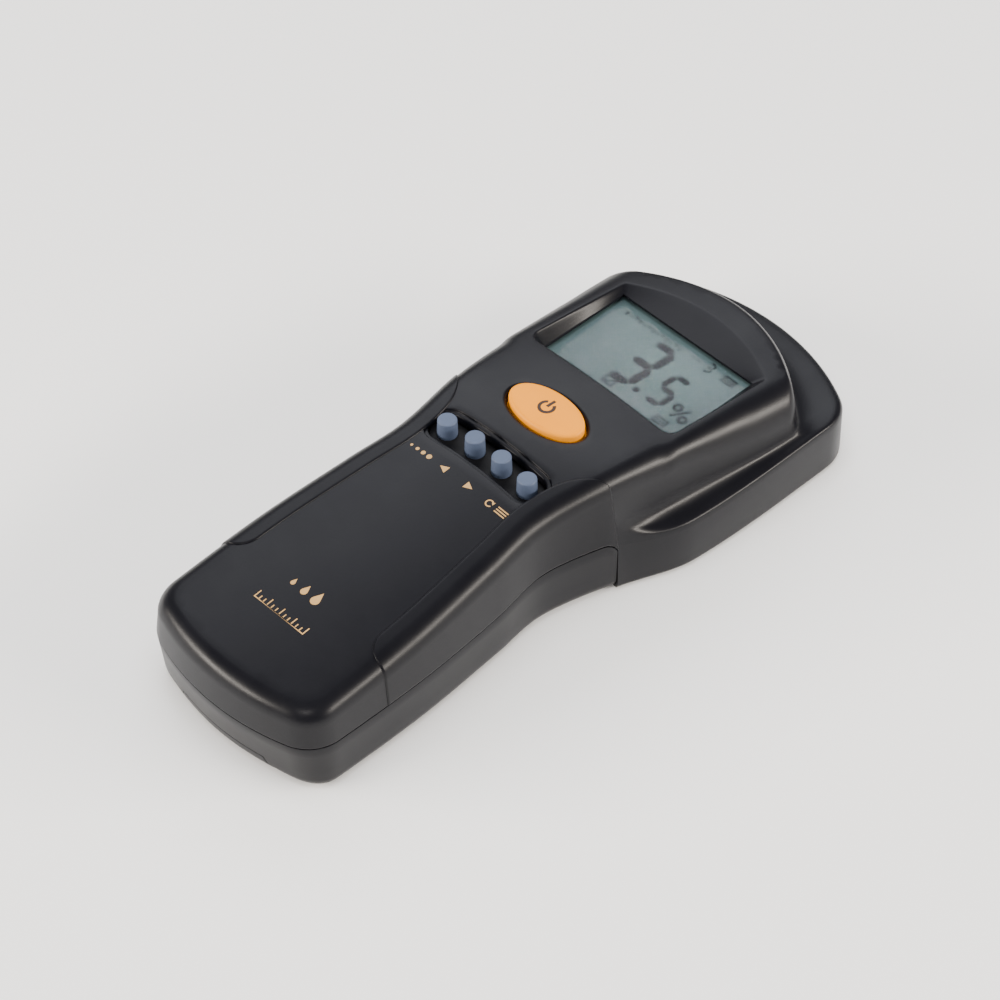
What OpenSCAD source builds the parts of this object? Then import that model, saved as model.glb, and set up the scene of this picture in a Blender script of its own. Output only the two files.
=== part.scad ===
// Handheld pinless moisture meter: a two-part casing with a raised head, a display, one
// power button, four keys, a sliding battery cover and a 9 V block battery.
// X runs across, Y runs from the handle end to the head front, Z is up from the sensing face.

/* [Casing outline] */
// Overall length, handle end to head front
body_l = 162; // [150:1:195]
// Length of the head, neck line to head front
head_l = 73; // [70:0.5:80]
// Widest part of the head
head_w = 63.6; // [61:0.5:77]
// Width of the handle near its end
handle_w = 50.8; // [49:0.5:60]
// Width of the handle at its waist
waist_w = 43.6; // [43:0.2:52]
// Width of the head's raised tier at its front corners
brow_w = 57.4; // [55:0.2:60]
// Distance the raised tier stops short of the head front
brow_setback = 11.3; // [9:0.1:14]

/* [Casing heights] */
// Height at which the handle slope and the head slope would meet
crest_z = 32; // [31:0.1:39]
// Height of the top surface at the handle end
handle_end_z = 22.8; // [22.5:0.1:28]
// Height the head slope would have at the head front
head_front_z = 24; // [23.6:0.1:28]
// Height of the parting line on the handle
seam_z = 13.2; // [10:0.1:14]
// Height of the ledge round the head
ledge_z = 13.2; // [12:0.1:15]
// Crown of the top surface, centre to edge
crown = 1.3; // [0:0.1:1.5]

/* [Casing walls] */
// Wall thickness of the upper casing
wall_t = 2.4; // [2:0.1:3]
// Floor and wall thickness of the lower casing
floor_t = 2.2; // [1.8:0.1:2.6]
// Radius of the top edge of the handle
edge_r = 3.8; // [2.5:0.1:4.6]
// Radius of the top edge beside the display
side_r = 6.5; // [4:0.1:7]
// Radius of the top edge along the front of the raised tier
brow_r = 2; // [1:0.1:2.4]
// Radius of the bottom edge of the handle
foot_r = 3; // [1:0.1:3.4]
// Gap shown at the parting line
seam_gap = 0.2; // [0.1:0.05:0.4]

/* [Side grips] */
// Thickness of a side grip
grip_t = 1.2; // [0.8:0.1:1.4]
// Height a side grip stands proud of the casing
grip_proud = 0.25; // [0:0.05:0.5]
// Distance from the handle end to the lower end of a side grip
grip_start = 24; // [20:1:40]

/* [Display] */
// Width of the display opening at its lower edge
view_w = 38.4; // [34:0.2:39]
// Length of the display opening at its lower edge
view_l = 25.4; // [22:0.2:27]
// Height of the lower edge of the display opening
view_z = 24.8; // [24:0.1:25.4]
// Width of the display glass
lcd_w = 41; // [40:0.2:42]
// Thickness of the display glass
lcd_t = 2.1; // [1.6:0.1:2.4]
// Thickness of the clear window
window_t = 0.8; // [0.5:0.1:1]

/* [Buttons] */
// Width of the oval power button
power_w = 19.8; // [18:0.2:26]
// Length of the oval power button
power_l = 11; // [10:0.2:14]
// Height of the power button above the casing
power_proud = 1.5; // [0.8:0.1:2]
// Travel of the power button
power_travel = 0.8; // [0.4:0.1:1]
// Diameter of each key
key_d = 4.4; // [3.6:0.1:5.4]
// Distance between key centres
key_pitch = 7.9; // [7.6:0.1:8.2]
// Height of the keys above the casing
key_proud = 1.9; // [1:0.1:3]
// Travel of each key
key_travel = 0.6; // [0.3:0.1:0.8]
// Width of the slot that the keys stand in
slot_w = 7.6; // [7:0.1:8.4]
// Radius of the arc that the keys stand on
key_arc_r = 160; // [90:1:200]

/* [Battery] */
// Width of the 9 V block battery
battery_w = 26.5; // [24:0.1:27]
// Length of the battery without its terminals
battery_l = 48.5; // [45:0.5:50]
// Thickness of the battery
battery_t = 17.3; // [15:0.1:17.5]
// Thickness of the battery cover
cover_t = 2; // [1.8:0.1:2.2]

/* [Fits] */
// Radial running clearance of keys, plungers and screws
run_fit = 0.08; // [0.04:0.01:0.1]
// Gap round the power button and the battery cover
slide_gap = 0.3; // [0.2:0.05:0.5]
// Gap between parts that are placed side by side
place_gap = 0.1; // [0.05:0.05:0.2]

/* [Hidden] */
$fn = 64;

// Places along the length
y_end = -body_l / 2;
y_front = body_l / 2;
y_neck = y_front - head_l;
y_crest = y_neck - 1.2;
y_waist = y_neck - 17.5;
y_grip = y_end + grip_start;
y_brow = y_front - brow_setback;
y_keys = y_neck - 12.6;
y_power = y_neck + 4;
view_y0 = y_neck + 20.4;
view_y1 = view_y0 + view_l;
view_yc = (view_y0 + view_y1) / 2;

// Outline: half widths and arcs
handle_h = handle_w / 2;
waist_h = waist_w / 2;
head_h = head_w / 2;
brow_h = brow_w / 2;
upper_lean = 0.6;
neck_lean = 2.3;
foot_lean = 2.3;
neck_h = mix(waist_h, head_h, 0.4);
end_arc_r = 60;
end_corner_r = 9;
front_arc_r = 55;
front_corner_r = 10.6;
brow_arc_r = 40;
brow_corner_r = 4.5;
flat_corner_r = 2.5;
seam_corner_r = 4;
seam_rise = 1.4;
grip_inset = 2.6;
ledge_edge_r = 1.6;
crest_soften = 8;
crown_span = 24;

// Mesh steps of the casing surface
arc_steps = 5;
corner_steps = 4;
line_step = 0.1;
fillet_steps = 4;

// Circuit board and display stack, from the display opening down
window_z1 = view_z - 0.8;
window_z0 = window_z1 - window_t - place_gap;
lcd_z1 = window_z0 - place_gap;
lcd_z0 = lcd_z1 - lcd_t;
strip_h = 1.6;
reflector_t = 0.2;
board_z1 = lcd_z0 - strip_h - reflector_t;
board_t = 1.6;
board_z0 = board_z1 - board_t;
board_y0 = y_neck - 28;
board_y1 = view_y1 + 3.2;
board_step_y = y_neck + 10;
board_h0 = 16.8;
board_h1 = 22.2;
lcd_l = view_l + 2.2;
window_w = view_w + 2.2;
window_l = view_l + 2.2;
well_margin = 2.2;

// Switches and keys
switch_w = 6;
switch_h = 3.5;
plunger_d = 3.4;
switch_floor = 0.2;
plunger_z0 = board_z1 + switch_floor + power_travel + 0.1;
plunger_top = board_z1 + switch_h + 0.5 + max(power_travel, key_travel);
key_edge = 0.3;
key_flange_d = 6;
flange_t = 0.7;
guide_z0 = plunger_top + flange_t + 0.3;
guide_rim = 1.4;
slot_depth = 1.9;
key_x = [for (k = [0 : 3]) (k - 1.5) * key_pitch];
slot_half_l = 12.15;
slot_half_angle = asin(slot_half_l / key_arc_r);

// Battery compartment
battery_z0 = cover_t + 0.5;
battery_y0 = y_end + 6;
battery_y1 = battery_y0 + battery_l;
battery_zc = battery_z0 + battery_t / 2;
terminal_h = 2.8;
terminal_x = 6.35;
snap_t = 4.4;
lead_d = 1.3;
bay_h = battery_w / 2 + 0.7;
bay_wall = 2;
bay_top = seam_z + 3;
bay_y1 = battery_y1 + snap_t + 0.6;
cover_y1 = battery_y1 + 2;
cover_h = bay_h - slide_gap + 0.2;
cover_tongue = 1.1;
tongue_y0 = y_end + foot_r + 4;
cover_tab_z = 4.3;
tab_slant = 1.8;
tongue_z0 = 1.1;
tongue_z1 = 2;

// Screws
screw_d = 2.5;
screw_head_d = 4.8;
screw_head_t = 1.6;
boss_d = 6.4;
head_boss = [brow_h - 3.6, view_y1 + 1.6];
handle_boss = [handle_h - 6.2, y_end + 22];
recess_z = 3.6;
handle_recess_z = 5.2;
board_boss_d = 5;
board_holes = [[13.8, board_y0 + 4.6], [18.6, view_y0 - 7.4]];

// Sensor in the head floor
sensor_w = 42;
sensor_l = 46;
sensor_yc = y_neck + 34;
sensor_t = 0.4;
insulator_t = 1.2;

// Colours
case_c = "#26272b";
grip_c = "#222326";
key_c = "#66788a";
amber_c = "#f5a623";
board_c = "#1d6b3a";

// ---------------------------------------------------------------- helper functions

function mix(a, b, t) = a + (b - a) * t;
function unit01(t) = max(0, min(1, t));
function ease(t) = pow(unit01(t), 2) * (3 - 2 * unit01(t));

// Smooth curve through [position, value] knots, flat beyond its ends
function knot_slope(k, i) = (i == 0 || i == len(k) - 1) ? 0
    : (k[i + 1][1] - k[i - 1][1]) / (k[i + 1][0] - k[i - 1][0]);
function knot_seg(k, s, i = 0) = (i >= len(k) - 2 || s < k[i + 1][0]) ? i : knot_seg(k, s, i + 1);
function hermite(k, i, h, t) =
    k[i][1] * (2 * pow(t, 3) - 3 * t * t + 1)
    + h * knot_slope(k, i) * (pow(t, 3) - 2 * t * t + t)
    + k[i + 1][1] * (3 * t * t - 2 * pow(t, 3))
    + h * knot_slope(k, i + 1) * (pow(t, 3) - t * t);
function curve(k, s) = let (i = knot_seg(k, s), h = k[i + 1][0] - k[i][0])
    hermite(k, i, h, unit01((s - k[i][0]) / h));

// Half widths of the lower outline, the upper outline and the flat top along the length
function inner_knots(lean, neck, head) =
    [[y_end + 10, handle_h - lean], [y_end + 35, handle_h - 0.4 - lean],
     [y_waist - 14, waist_h + 1.3 - lean], [y_waist, waist_h - lean], [y_neck, neck_h - neck],
     [y_neck + 17, mix(neck_h - neck, head, 0.42)], [y_brow - 11, head]];
lower_knots = [[y_end + 10, handle_h], [y_end + 35, handle_h - 0.4], [y_waist - 14, waist_h + 1.3],
               [y_waist, waist_h], [y_neck, neck_h], [y_neck + 17, head_h - 0.5],
               [y_front - 10, head_h]];
upper_knots = inner_knots(upper_lean, neck_lean, brow_h);
flat_knots = inner_knots(upper_lean + edge_r, neck_lean + edge_r, brow_h - side_r);

// Height of the top surface
slope_a = (crest_z - handle_end_z) / (y_crest - y_end);
slope_b = (crest_z - head_front_z) / (y_front - y_crest);
function top_z(x, y) = let (u = y - y_crest)
    crest_z - (slope_a + slope_b) / 2 * sqrt(u * u + crest_soften * crest_soften)
    - (slope_b - slope_a) / 2 * u - crown * pow(x / crown_span, 2);

// ---------------------------------------------------------------- casing stations

// Rounded end of an outline: arc of radius ra, corner of radius rc, half width h
function corner_y(ra, rc, h) = sqrt(pow(ra - rc, 2) - pow(h - rc, 2));
function corner_a(ra, rc, h) = atan2(h - rc, corner_y(ra, rc, h));
// Points from the tip to the side; each is [x, distance from the tip]
function end_points(ra, rc, h) = let (a1 = corner_a(ra, rc, h), yc = corner_y(ra, rc, h))
    concat([for (k = [0 : arc_steps - 1]) let (a = a1 * k / arc_steps) [ra * sin(a), ra * (1 - cos(a))]],
           [for (k = [0 : corner_steps]) let (a = mix(a1, 90, k / corner_steps))
               [h - rc + rc * sin(a), ra - yc - rc * cos(a)]]);

// Places along the handle side that both outlines share
seam_arc_y = [for (k = [1 : 3]) y_neck - seam_corner_r * (1 - sin(k * 20))];
handle_ys = concat([y_grip, y_grip + line_step],
                   [for (k = [1 : 6]) mix(y_grip, y_waist, k / 6)],
                   [for (k = [1 : 4]) mix(y_waist, y_neck - seam_corner_r, k / 4)],
                   seam_arc_y,
                   [for (k = [4 : -1 : 1]) y_neck - k * line_step]);
shared_n = len(handle_ys);
head_steps = 9;
lead_steps = 3;

// One half outline: tip, handle end, side and head front, from the end to the front
function half_outline(tip0, tip1, e_end, e_front, knots) =
    let (yl = tip0 + e_end[len(e_end) - 1][1], yh = tip1 - e_front[len(e_front) - 1][1])
    concat([for (p = e_end) [p[0], tip0 + p[1]]],
           [for (k = [1 : lead_steps]) let (y = mix(yl, y_grip - line_step, k / lead_steps))
               [curve(knots, y), y]],
           [for (y = handle_ys) [curve(knots, y), y]],
           [for (k = [0 : head_steps - 1]) let (y = mix(y_neck, yh, k / head_steps)) [curve(knots, y), y]],
           [for (k = [len(e_front) - 1 : -1 : 0]) [e_front[k][0], tip1 - e_front[k][1]]]);

lower = half_outline(y_end, y_front, end_points(end_arc_r, end_corner_r, handle_h),
                     end_points(front_arc_r, front_corner_r, head_h), lower_knots);
upper = half_outline(y_end + upper_lean, y_brow,
                     end_points(end_arc_r, end_corner_r - 1, handle_h - upper_lean),
                     end_points(brow_arc_r, brow_corner_r, brow_h), upper_knots);
flat_top = half_outline(y_end + upper_lean + edge_r, y_brow - brow_r,
                        end_points(end_arc_r, end_corner_r - edge_r, handle_h - upper_lean - edge_r),
                        end_points(brow_arc_r, flat_corner_r, brow_h - side_r), flat_knots);
half_n = len(lower) - 1;
ring_n = 2 * half_n;

// Numbers of the stations where something starts or stops
k_grip = arc_steps + corner_steps + 1 + lead_steps;
k_neck = k_grip + shared_n;

// Outward direction of an outline at a station
function wrap(path, k) = k < 0 ? [-path[-k][0], path[-k][1]]
    : k > half_n ? [-path[2 * half_n - k][0], path[2 * half_n - k][1]] : path[k];
function outward(path, k) = let (d = wrap(path, k + 1) - wrap(path, k - 1)) [d[1], -d[0]] / norm(d);
lower_dir = [for (k = [0 : half_n]) outward(lower, k)];
upper_dir = [for (k = [0 : half_n]) outward(upper, k)];

// How far the ledge has opened, 0 on the handle and 1 on the head
ledge_open = [for (k = [0 : half_n]) k < k_neck ? 0 : ease((lower[k][1] - y_neck + 1) / 12)];
top_r = [for (k = [0 : half_n]) min(side_r, norm(upper[k] - flat_top[k]))];

// Height of the parting line, with its rounded corner at the neck
function seam_at(y) = let (s = unit01((y - (y_neck - seam_corner_r)) / seam_corner_r))
    seam_z + seam_rise * ease((y - y_waist + 20) / 22) - seam_corner_r * (1 - sqrt(1 - s * s));
upper_rim = [for (k = [0 : half_n]) k < k_neck - 1 ? seam_at(lower[k][1]) : 0];

// Upper edge line of a side grip, and the ring that continues it round the casing
function grip_line(k) = let (t = unit01((upper[k][1] - y_neck + 13) / 13))
    [flat_top[k][0] - mix(grip_inset, 0.3, t * t), upper[k][1]];
function grip_at(k) = (k >= k_grip - 1 && k < k_neck) ? grip_line(k)
    : flat_top[k] - upper_dir[k] * 0.8;

// ---------------------------------------------------------------- casing surface

// Columns from the rim to the centre: [share of the lean on the handle, share of the lean
// on the head, height above the ledge]
wall_cols = [[0, 0, -100], [0, 0, -ledge_edge_r], [0.17, 0.05, -0.45], [0.33, 0.2, 0.1],
             [0.5, 0.62, 0.9], [0.67, 0.9, 2.6], [0.83, 0.98, 6], [1, 1, 100]];
wall_n = len(wall_cols);

function wall_point(k, c, d) = let (h = ledge_open[k], col = wall_cols[c],
        zt = top_z(upper[k][0], upper[k][1]) - top_r[k],
        zh = max(upper_rim[k], min(zt, ledge_z + col[2])),
        zl = c == 0 ? upper_rim[k] : mix(max(upper_rim[k] + 0.3, seam_z), zt, col[0]),
        p = mix(lower[k], upper[k], mix(col[0], col[1], h)) + d * upper_dir[k])
    [p[0], p[1], mix(zl, zh, h)];
function fillet_point(k, a, d) = let (p = mix(flat_top[k], upper[k], cos(a)) + upper_dir[k] * d * cos(a))
    [p[0], p[1], top_z(p[0], p[1]) - top_r[k] * (1 - sin(a)) + d * sin(a)];
function cap_point(p, d) = [p[0], p[1], top_z(p[0], p[1]) + d];
spine_y0 = y_end + 24;
spine_y1 = y_brow - 24;
function spine_at(k) = [0, max(spine_y0, min(spine_y1, upper[k][1]))];

// A whole ring from its right half; the left half is the mirror image
function ring(half) = concat(half, [for (k = [half_n - 1 : -1 : 1]) [-half[k][0], half[k][1], half[k][2]]]);

// A side grip lies in a pocket in the upper casing
function in_pocket(k) = k >= k_grip && k <= k_neck - 2;
function dip(k) = in_pocket(k) ? grip_proud - grip_t - place_gap : 0;
function edge_shift(k, s) = in_pocket(k) ? grip_at(k) + [s, 0] : grip_at(k) + upper_dir[k] * s;

outer_rings = concat(
    [for (c = [0 : wall_n - 1]) ring([for (k = [0 : half_n]) wall_point(k, c, dip(k))])],
    [for (f = [1 : fillet_steps])
        ring([for (k = [0 : half_n]) fillet_point(k, 90 * f / fillet_steps, dip(k))])],
    [ring([for (k = [0 : half_n]) cap_point(edge_shift(k, line_step / 2), dip(k))])],
    [ring([for (k = [0 : half_n]) cap_point(edge_shift(k, -line_step / 2), 0)])],
    [for (s = [0.33, 0.67]) ring([for (k = [0 : half_n]) cap_point(mix(grip_at(k), spine_at(k), s), 0)])]);

inner_cols = [[0, 0], [0, 0.3], [0.5, 0.5], [1, 0.75], [1, 1]];
function inner_point(k, c) = let (h = ledge_open[k], col = inner_cols[c],
        zt = top_z(upper[k][0], upper[k][1]) - top_r[k],
        zh = [0, ledge_z - wall_t - 1, ledge_z - wall_t, ledge_z - wall_t + 1.5, zt][c],
        zl = mix(upper_rim[k], zt, col[1]),
        p = mix(lower[k] - wall_t * lower_dir[k], upper[k] - wall_t * upper_dir[k],
                mix(c / 4, col[0], h)))
    [p[0], p[1], mix(zl, max(zh, upper_rim[k]), k < k_neck ? 0 : (c == 0 ? 1 : h))];
inner_rings = concat(
    [for (c = [0 : 4]) ring([for (k = [0 : half_n]) inner_point(k, c)])],
    [for (a = [45, 80]) ring([for (k = [0 : half_n]) fillet_point(k, a, -min(wall_t, top_r[k] - 0.3))])],
    [ring([for (k = [0 : half_n]) cap_point(mix(grip_at(k), spine_at(k), 0.45), -wall_t)])]);

spine_k0 = min([for (k = [0 : half_n]) if (upper[k][1] > spine_y0) k]) - 1;
spine_k1 = max([for (k = [0 : half_n]) if (upper[k][1] < spine_y1) k]) + 1;
function spine_index(k) = max(spine_k0, min(spine_k1, k <= half_n ? k : ring_n - k)) - spine_k0;
function spine_points(d) = [for (k = [spine_k0 : spine_k1]) cap_point(spine_at(k), d)];

// Triangles between two rings, and between a ring and the spine
function turn(f, flip) = flip ? [f[2], f[1], f[0]] : f;
function strip(a, b, flip) = [for (k = [0 : ring_n - 1], t = [0, 1]) let (q = (k + 1) % ring_n)
    turn(t == 0 ? [a + k, b + k, b + q] : [a + k, b + q, a + q], flip)];
function fan(a, s, flip) = [for (k = [0 : ring_n - 1], t = [0, 1])
    let (q = (k + 1) % ring_n, i = s + spine_index(k), j = s + spine_index(q))
    if (t == 1 || i != j) turn(t == 0 ? [a + k, i, j] : [a + k, j, a + q], flip)];

function flat(list) = [for (part = list) each part];

// Closed skin: rings a rise from the rim to spine sa, rings b from the same rim to spine sb
module skin(a, sa, b, sb, flip = false) {
    na = len(a);
    nb = len(b);
    s1 = na * ring_n;
    b0 = s1 + len(sa);
    s2 = b0 + nb * ring_n;
    faces = concat(flat([for (r = [0 : na - 2]) strip(r * ring_n, (r + 1) * ring_n, flip)]),
                   fan((na - 1) * ring_n, s1, flip),
                   flat([for (r = [0 : nb - 2]) strip(b0 + r * ring_n, b0 + (r + 1) * ring_n, !flip)]),
                   fan(b0 + (nb - 1) * ring_n, s2, !flip),
                   strip(0, b0, !flip));
    polyhedron(points = concat(flat(a), sa, flat(b), sb), faces = faces, convexity = 8);
}

// ---------------------------------------------------------------- lower casing surface

fit_inset = wall_t + 2 * seam_gap;
function base_inset(k) = k >= k_neck - 4 ? fit_inset : 0;
function base_rim(k) = k >= k_neck - 4 ? floor_t + 1.4 : seam_at(lower[k][1]) - seam_gap;
function base_r(k) = k >= k_neck - 4 ? 0.4 : foot_r;
function base_lean(k, z) = k >= k_neck - 4 ? 0
    : mix(foot_lean, 0.4, ease((lower[k][1] - y_end) / 10)) * max(0, 1 - z / seam_z);
function base_point(k, inset, z) =
    let (p = lower[k] - lower_dir[k] * (base_inset(k) + inset + base_lean(k, z))) [p[0], p[1], z];
base_spine = [for (k = [spine_k0 : spine_k1]) [0, spine_at(k)[1], 0]];

base_outer = concat(
    [ring([for (k = [0 : half_n]) base_point(k, 0, base_rim(k))])],
    [for (a = [0, 30, 60, 90]) ring([for (k = [0 : half_n]) let (r = base_r(k))
        base_point(k, r * (1 - cos(a)), r * (1 - sin(a)))])]);
base_inner = [ring([for (k = [0 : half_n]) base_point(k, floor_t, base_rim(k))]),
              ring([for (k = [0 : half_n]) base_point(k, floor_t, floor_t + 0.8)]),
              ring([for (k = [0 : half_n]) base_point(k, floor_t + 0.8, floor_t)])];

module base_tub() {
    skin(base_outer, base_spine, base_inner, [for (p = base_spine) p + [0, 0, floor_t]], true);
}

// The lower casing filled in up to the parting line, used to shape the cover
module base_block() {
    top = ring([for (k = [0 : half_n]) base_point(k, 0.5, base_rim(k))]);
    skin(base_outer, base_spine, [top], [for (p = base_spine) p + [0, 0, floor_t + 1]], true);
}

// ---------------------------------------------------------------- shared shapes

// Block centred on X, from y0 to y1 and z0 to z1
module slab(w, y0, y1, z0, z1) {
    translate([-w / 2, y0, z0])
        cube([w, y1 - y0, z1 - z0]);
}

module post(d, z0, z1) {
    translate([0, 0, z0])
        cylinder(d = d, h = z1 - z0);
}

module both_sides() {
    children();
    mirror([1, 0, 0])
        children();
}

// Oval outline of width w and length l
function oval(w, l) = [for (a = [0 : 5 : 355]) [w / 2 * cos(a), l / 2 * sin(a)]];

// Outline of the display opening: straight near edge and sides, arched far edge
view_arc_r = 46;
function view_outline(grow) = let (h = view_w / 2 + grow, y1 = view_y1 + 1.6 + grow,
        sag = view_arc_r - sqrt(view_arc_r * view_arc_r - h * h))
    concat([[-h, view_y0 - grow], [h, view_y0 - grow]],
           [for (t = [1 : -0.2 : -1])
               [h * t, y1 + sag - view_arc_r + sqrt(view_arc_r * view_arc_r - h * h * t * t)]]);

// Arched key slot of width w
module slot_shape(w) {
    translate([0, y_keys - key_arc_r])
        union() {
            intersection() {
                difference() {
                    circle(r = key_arc_r + w / 2, $fn = 180);
                    circle(r = key_arc_r - w / 2, $fn = 180);
                }
                polygon([[0, 0], 2 * key_arc_r * [-sin(slot_half_angle), cos(slot_half_angle)],
                         2 * key_arc_r * [sin(slot_half_angle), cos(slot_half_angle)]]);
            }
            for (s = [-1, 1])
                rotate(s * slot_half_angle)
                    translate([0, key_arc_r])
                        circle(d = w);
        }
}

// Place of key number k, from left to right
function key_y(k) = y_keys - key_arc_r + sqrt(key_arc_r * key_arc_r - key_x[k] * key_x[k]);
function skin_z(x, y) = top_z(x, y) - wall_t;
slot_end_x = slot_half_l + slot_w / 2;
guide_top = skin_z(slot_end_x + guide_rim, key_y(0) - slot_w / 2 - guide_rim) - 0.1;
guide_deck_z = top_z(slot_end_x, key_y(0)) - slot_depth;
power_top = top_z(0, y_power) + power_proud;
power_flange_z1 = skin_z(power_w / 2 + 1.2, y_power + power_l / 2 + 1.1) - 0.2;

// Tube of diameter d through the points of a route, closed at both ends
function tube_ring(route, i, d) = let (
        a = route[max(0, i - 1)], b = route[min(len(route) - 1, i + 1)], t = (b - a) / norm(b - a),
        side = cross(t, [1, 0.2, 0.1]), u = side / norm(side), v = cross(t, u))
    [for (k = [0 : 7]) route[i] + d / 2 * (cos(k * 45) * u + sin(k * 45) * v)];
module tube(route, d) {
    n = len(route);
    polyhedron(points = flat([for (i = [0 : n - 1]) tube_ring(route, i, d)]),
               faces = concat([[for (k = [0 : 7]) k]], [[for (k = [7 : -1 : 0]) (n - 1) * 8 + k]],
                              [for (i = [0 : n - 2], k = [0 : 7]) let (q = (k + 1) % 8)
                                  [i * 8 + k, (i + 1) * 8 + k, (i + 1) * 8 + q, i * 8 + q]]));
}
// Bowed route from a to b that sags by s half way
function bow(a, b, s, steps = 8) = [for (k = [0 : steps]) let (t = k / steps)
    [mix(a[0], b[0], ease(t)), mix(a[1], b[1], t), mix(a[2], b[2], t) - 4 * s * t * (1 - t)]];

// ---------------------------------------------------------------- upper casing

// Block under the top surface that carries the display opening
module display_well() {
    intersection() {
        translate([0, 0, window_z0])
            linear_extrude(crest_z - window_z0)
                polygon(view_outline(well_margin));
        rotate([90, 0, 90])
            translate([0, 0, -head_w / 2])
                linear_extrude(head_w)
                    polygon(concat([for (t = [0 : 0.25 : 1]) let (y = mix(view_y0 - 3, y_brow - 2, t))
                                       [y, top_z(view_w / 2 + well_margin, y) - wall_t / 2]],
                                   [[y_brow - 2, 0], [view_y0 - 3, 0]]));
    }
}

// Sloping sides of the display opening
module display_recess() {
    rise = crest_z - view_z;
    grow = 0.32 * rise;
    hull() {
        translate([0, 0, view_z])
            linear_extrude(0.02)
                polygon([[-view_w / 2, view_y0], [view_w / 2, view_y0],
                         [view_w / 2, view_y1], [-view_w / 2, view_y1]]);
        translate([0, 0, crest_z])
            linear_extrude(0.02)
                polygon([for (p = view_outline(grow)) [p[0], p[1] < view_y0 ? p[1] : p[1] + 1.6 * grow]]);
    }
}

module top_shell() {
    color(case_c)
        difference() {
            union() {
                skin(outer_rings, spine_points(0), inner_rings, spine_points(-wall_t));
                display_well();
                both_sides() {
                    translate(head_boss)
                        post(boss_d, recess_z + place_gap + 0.8, ledge_z + 3);
                    translate(handle_boss)
                        post(boss_d, handle_recess_z + place_gap + 0.8,
                         skin_z(handle_boss[0], handle_boss[1]) + 1);
                    for (p = board_holes)
                        translate(p)
                            post(board_boss_d, board_z1, skin_z(p[0], p[1]) + 1);
                }
            }
            display_recess();
            slab(view_w, view_y0, view_y1, window_z0 - 1, view_z + 1);
            translate([0, view_yc, 0])
                slab(window_w + 2 * place_gap, -window_l / 2 - place_gap, window_l / 2 + place_gap,
                     window_z0 - 1, window_z1 + place_gap / 2);
            translate([0, y_power, board_z1])
                linear_extrude(crest_z)
                    polygon(oval(power_w + 2 * slide_gap, power_l + 2 * slide_gap));
            translate([0, 0, board_z1])
                linear_extrude(crest_z)
                    slot_shape(slot_w);
            both_sides() {
                translate(head_boss)
                    post(screw_d + 2 * run_fit, 0, ledge_z + 0.4);
                translate(handle_boss)
                    post(screw_d + 2 * run_fit, 0, handle_recess_z + 12);
                for (p = board_holes)
                    translate(p)
                        post(2 + 2 * run_fit, 0, board_z1 + 5);
            }
        }
}

// ---------------------------------------------------------------- side grips

// Skin over the side of the handle, from the parting line up to the grip line
module side_grip() {
    k0 = k_grip + 1;
    k1 = k_neck - 3;
    lift = grip_proud;
    sink = grip_proud - grip_t;
    function column(k, d) = concat(
        [for (c = [0 : wall_n - 1]) wall_point(k, c, d)],
        [for (f = [1 : fillet_steps]) fillet_point(k, 90 * f / fillet_steps, d)],
        [cap_point(grip_at(k) + [line_step, 0], d)]);
    m = wall_n + fillet_steps + 1;
    n = k1 - k0 + 1;
    far = n * m;
    points = concat(flat([for (k = [k0 : k1]) column(k, lift)]),
                    flat([for (k = [k0 : k1]) column(k, sink)]));
    quads = concat(
        [for (i = [0 : n - 2], j = [0 : m - 2]) let (a = i * m + j) [a, a + 1, a + m + 1, a + m]],
        [for (i = [0 : n - 2], j = [0 : m - 2]) let (a = far + i * m + j) [a, a + m, a + m + 1, a + 1]],
        [for (i = [0 : n - 2]) [i * m, (i + 1) * m, far + (i + 1) * m, far + i * m]],
        [for (i = [0 : n - 2]) let (a = i * m + m - 1) [a, far + a, far + a + m, a + m]],
        [for (j = [0 : m - 2]) [j, far + j, far + j + 1, j + 1]],
        [for (j = [0 : m - 2]) let (e = (n - 1) * m) [e + j, e + j + 1, far + e + j + 1, far + e + j]]);
    polyhedron(points = points, faces = flat([for (q = quads) [[q[0], q[1], q[2]], [q[0], q[2], q[3]]]]),
               convexity = 6);
}

module side_grip_right() {
    color(grip_c)
        side_grip();
}

module side_grip_left() {
    color(grip_c)
        mirror([1, 0, 0])
            side_grip();
}

// ---------------------------------------------------------------- lower casing

// Space of the battery cover, grown by g, its tongues running on by more towards the handle end
module cover_space(g, more = 0) {
    slab(2 * cover_h + 2 * g, y_end - 5, cover_y1 + g, -1, cover_t + g);
    slab(2 * (cover_h + cover_tongue + g), tongue_y0 - g - more, cover_y1 + g, tongue_z0 - g, tongue_z1 + g);
    rotate([90, 0, 0])
        translate([0, 0, -y_end - wall_t - 1.6 - g])
            linear_extrude(wall_t + 6.6 + g)
                polygon([[-cover_h - g, -1], [cover_h + g, -1], [cover_h + g, 0.6],
                         [cover_h - tab_slant + g, cover_tab_z + g],
                         [tab_slant - cover_h - g, cover_tab_z + g], [-cover_h - g, 0.6]]);
}

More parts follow.
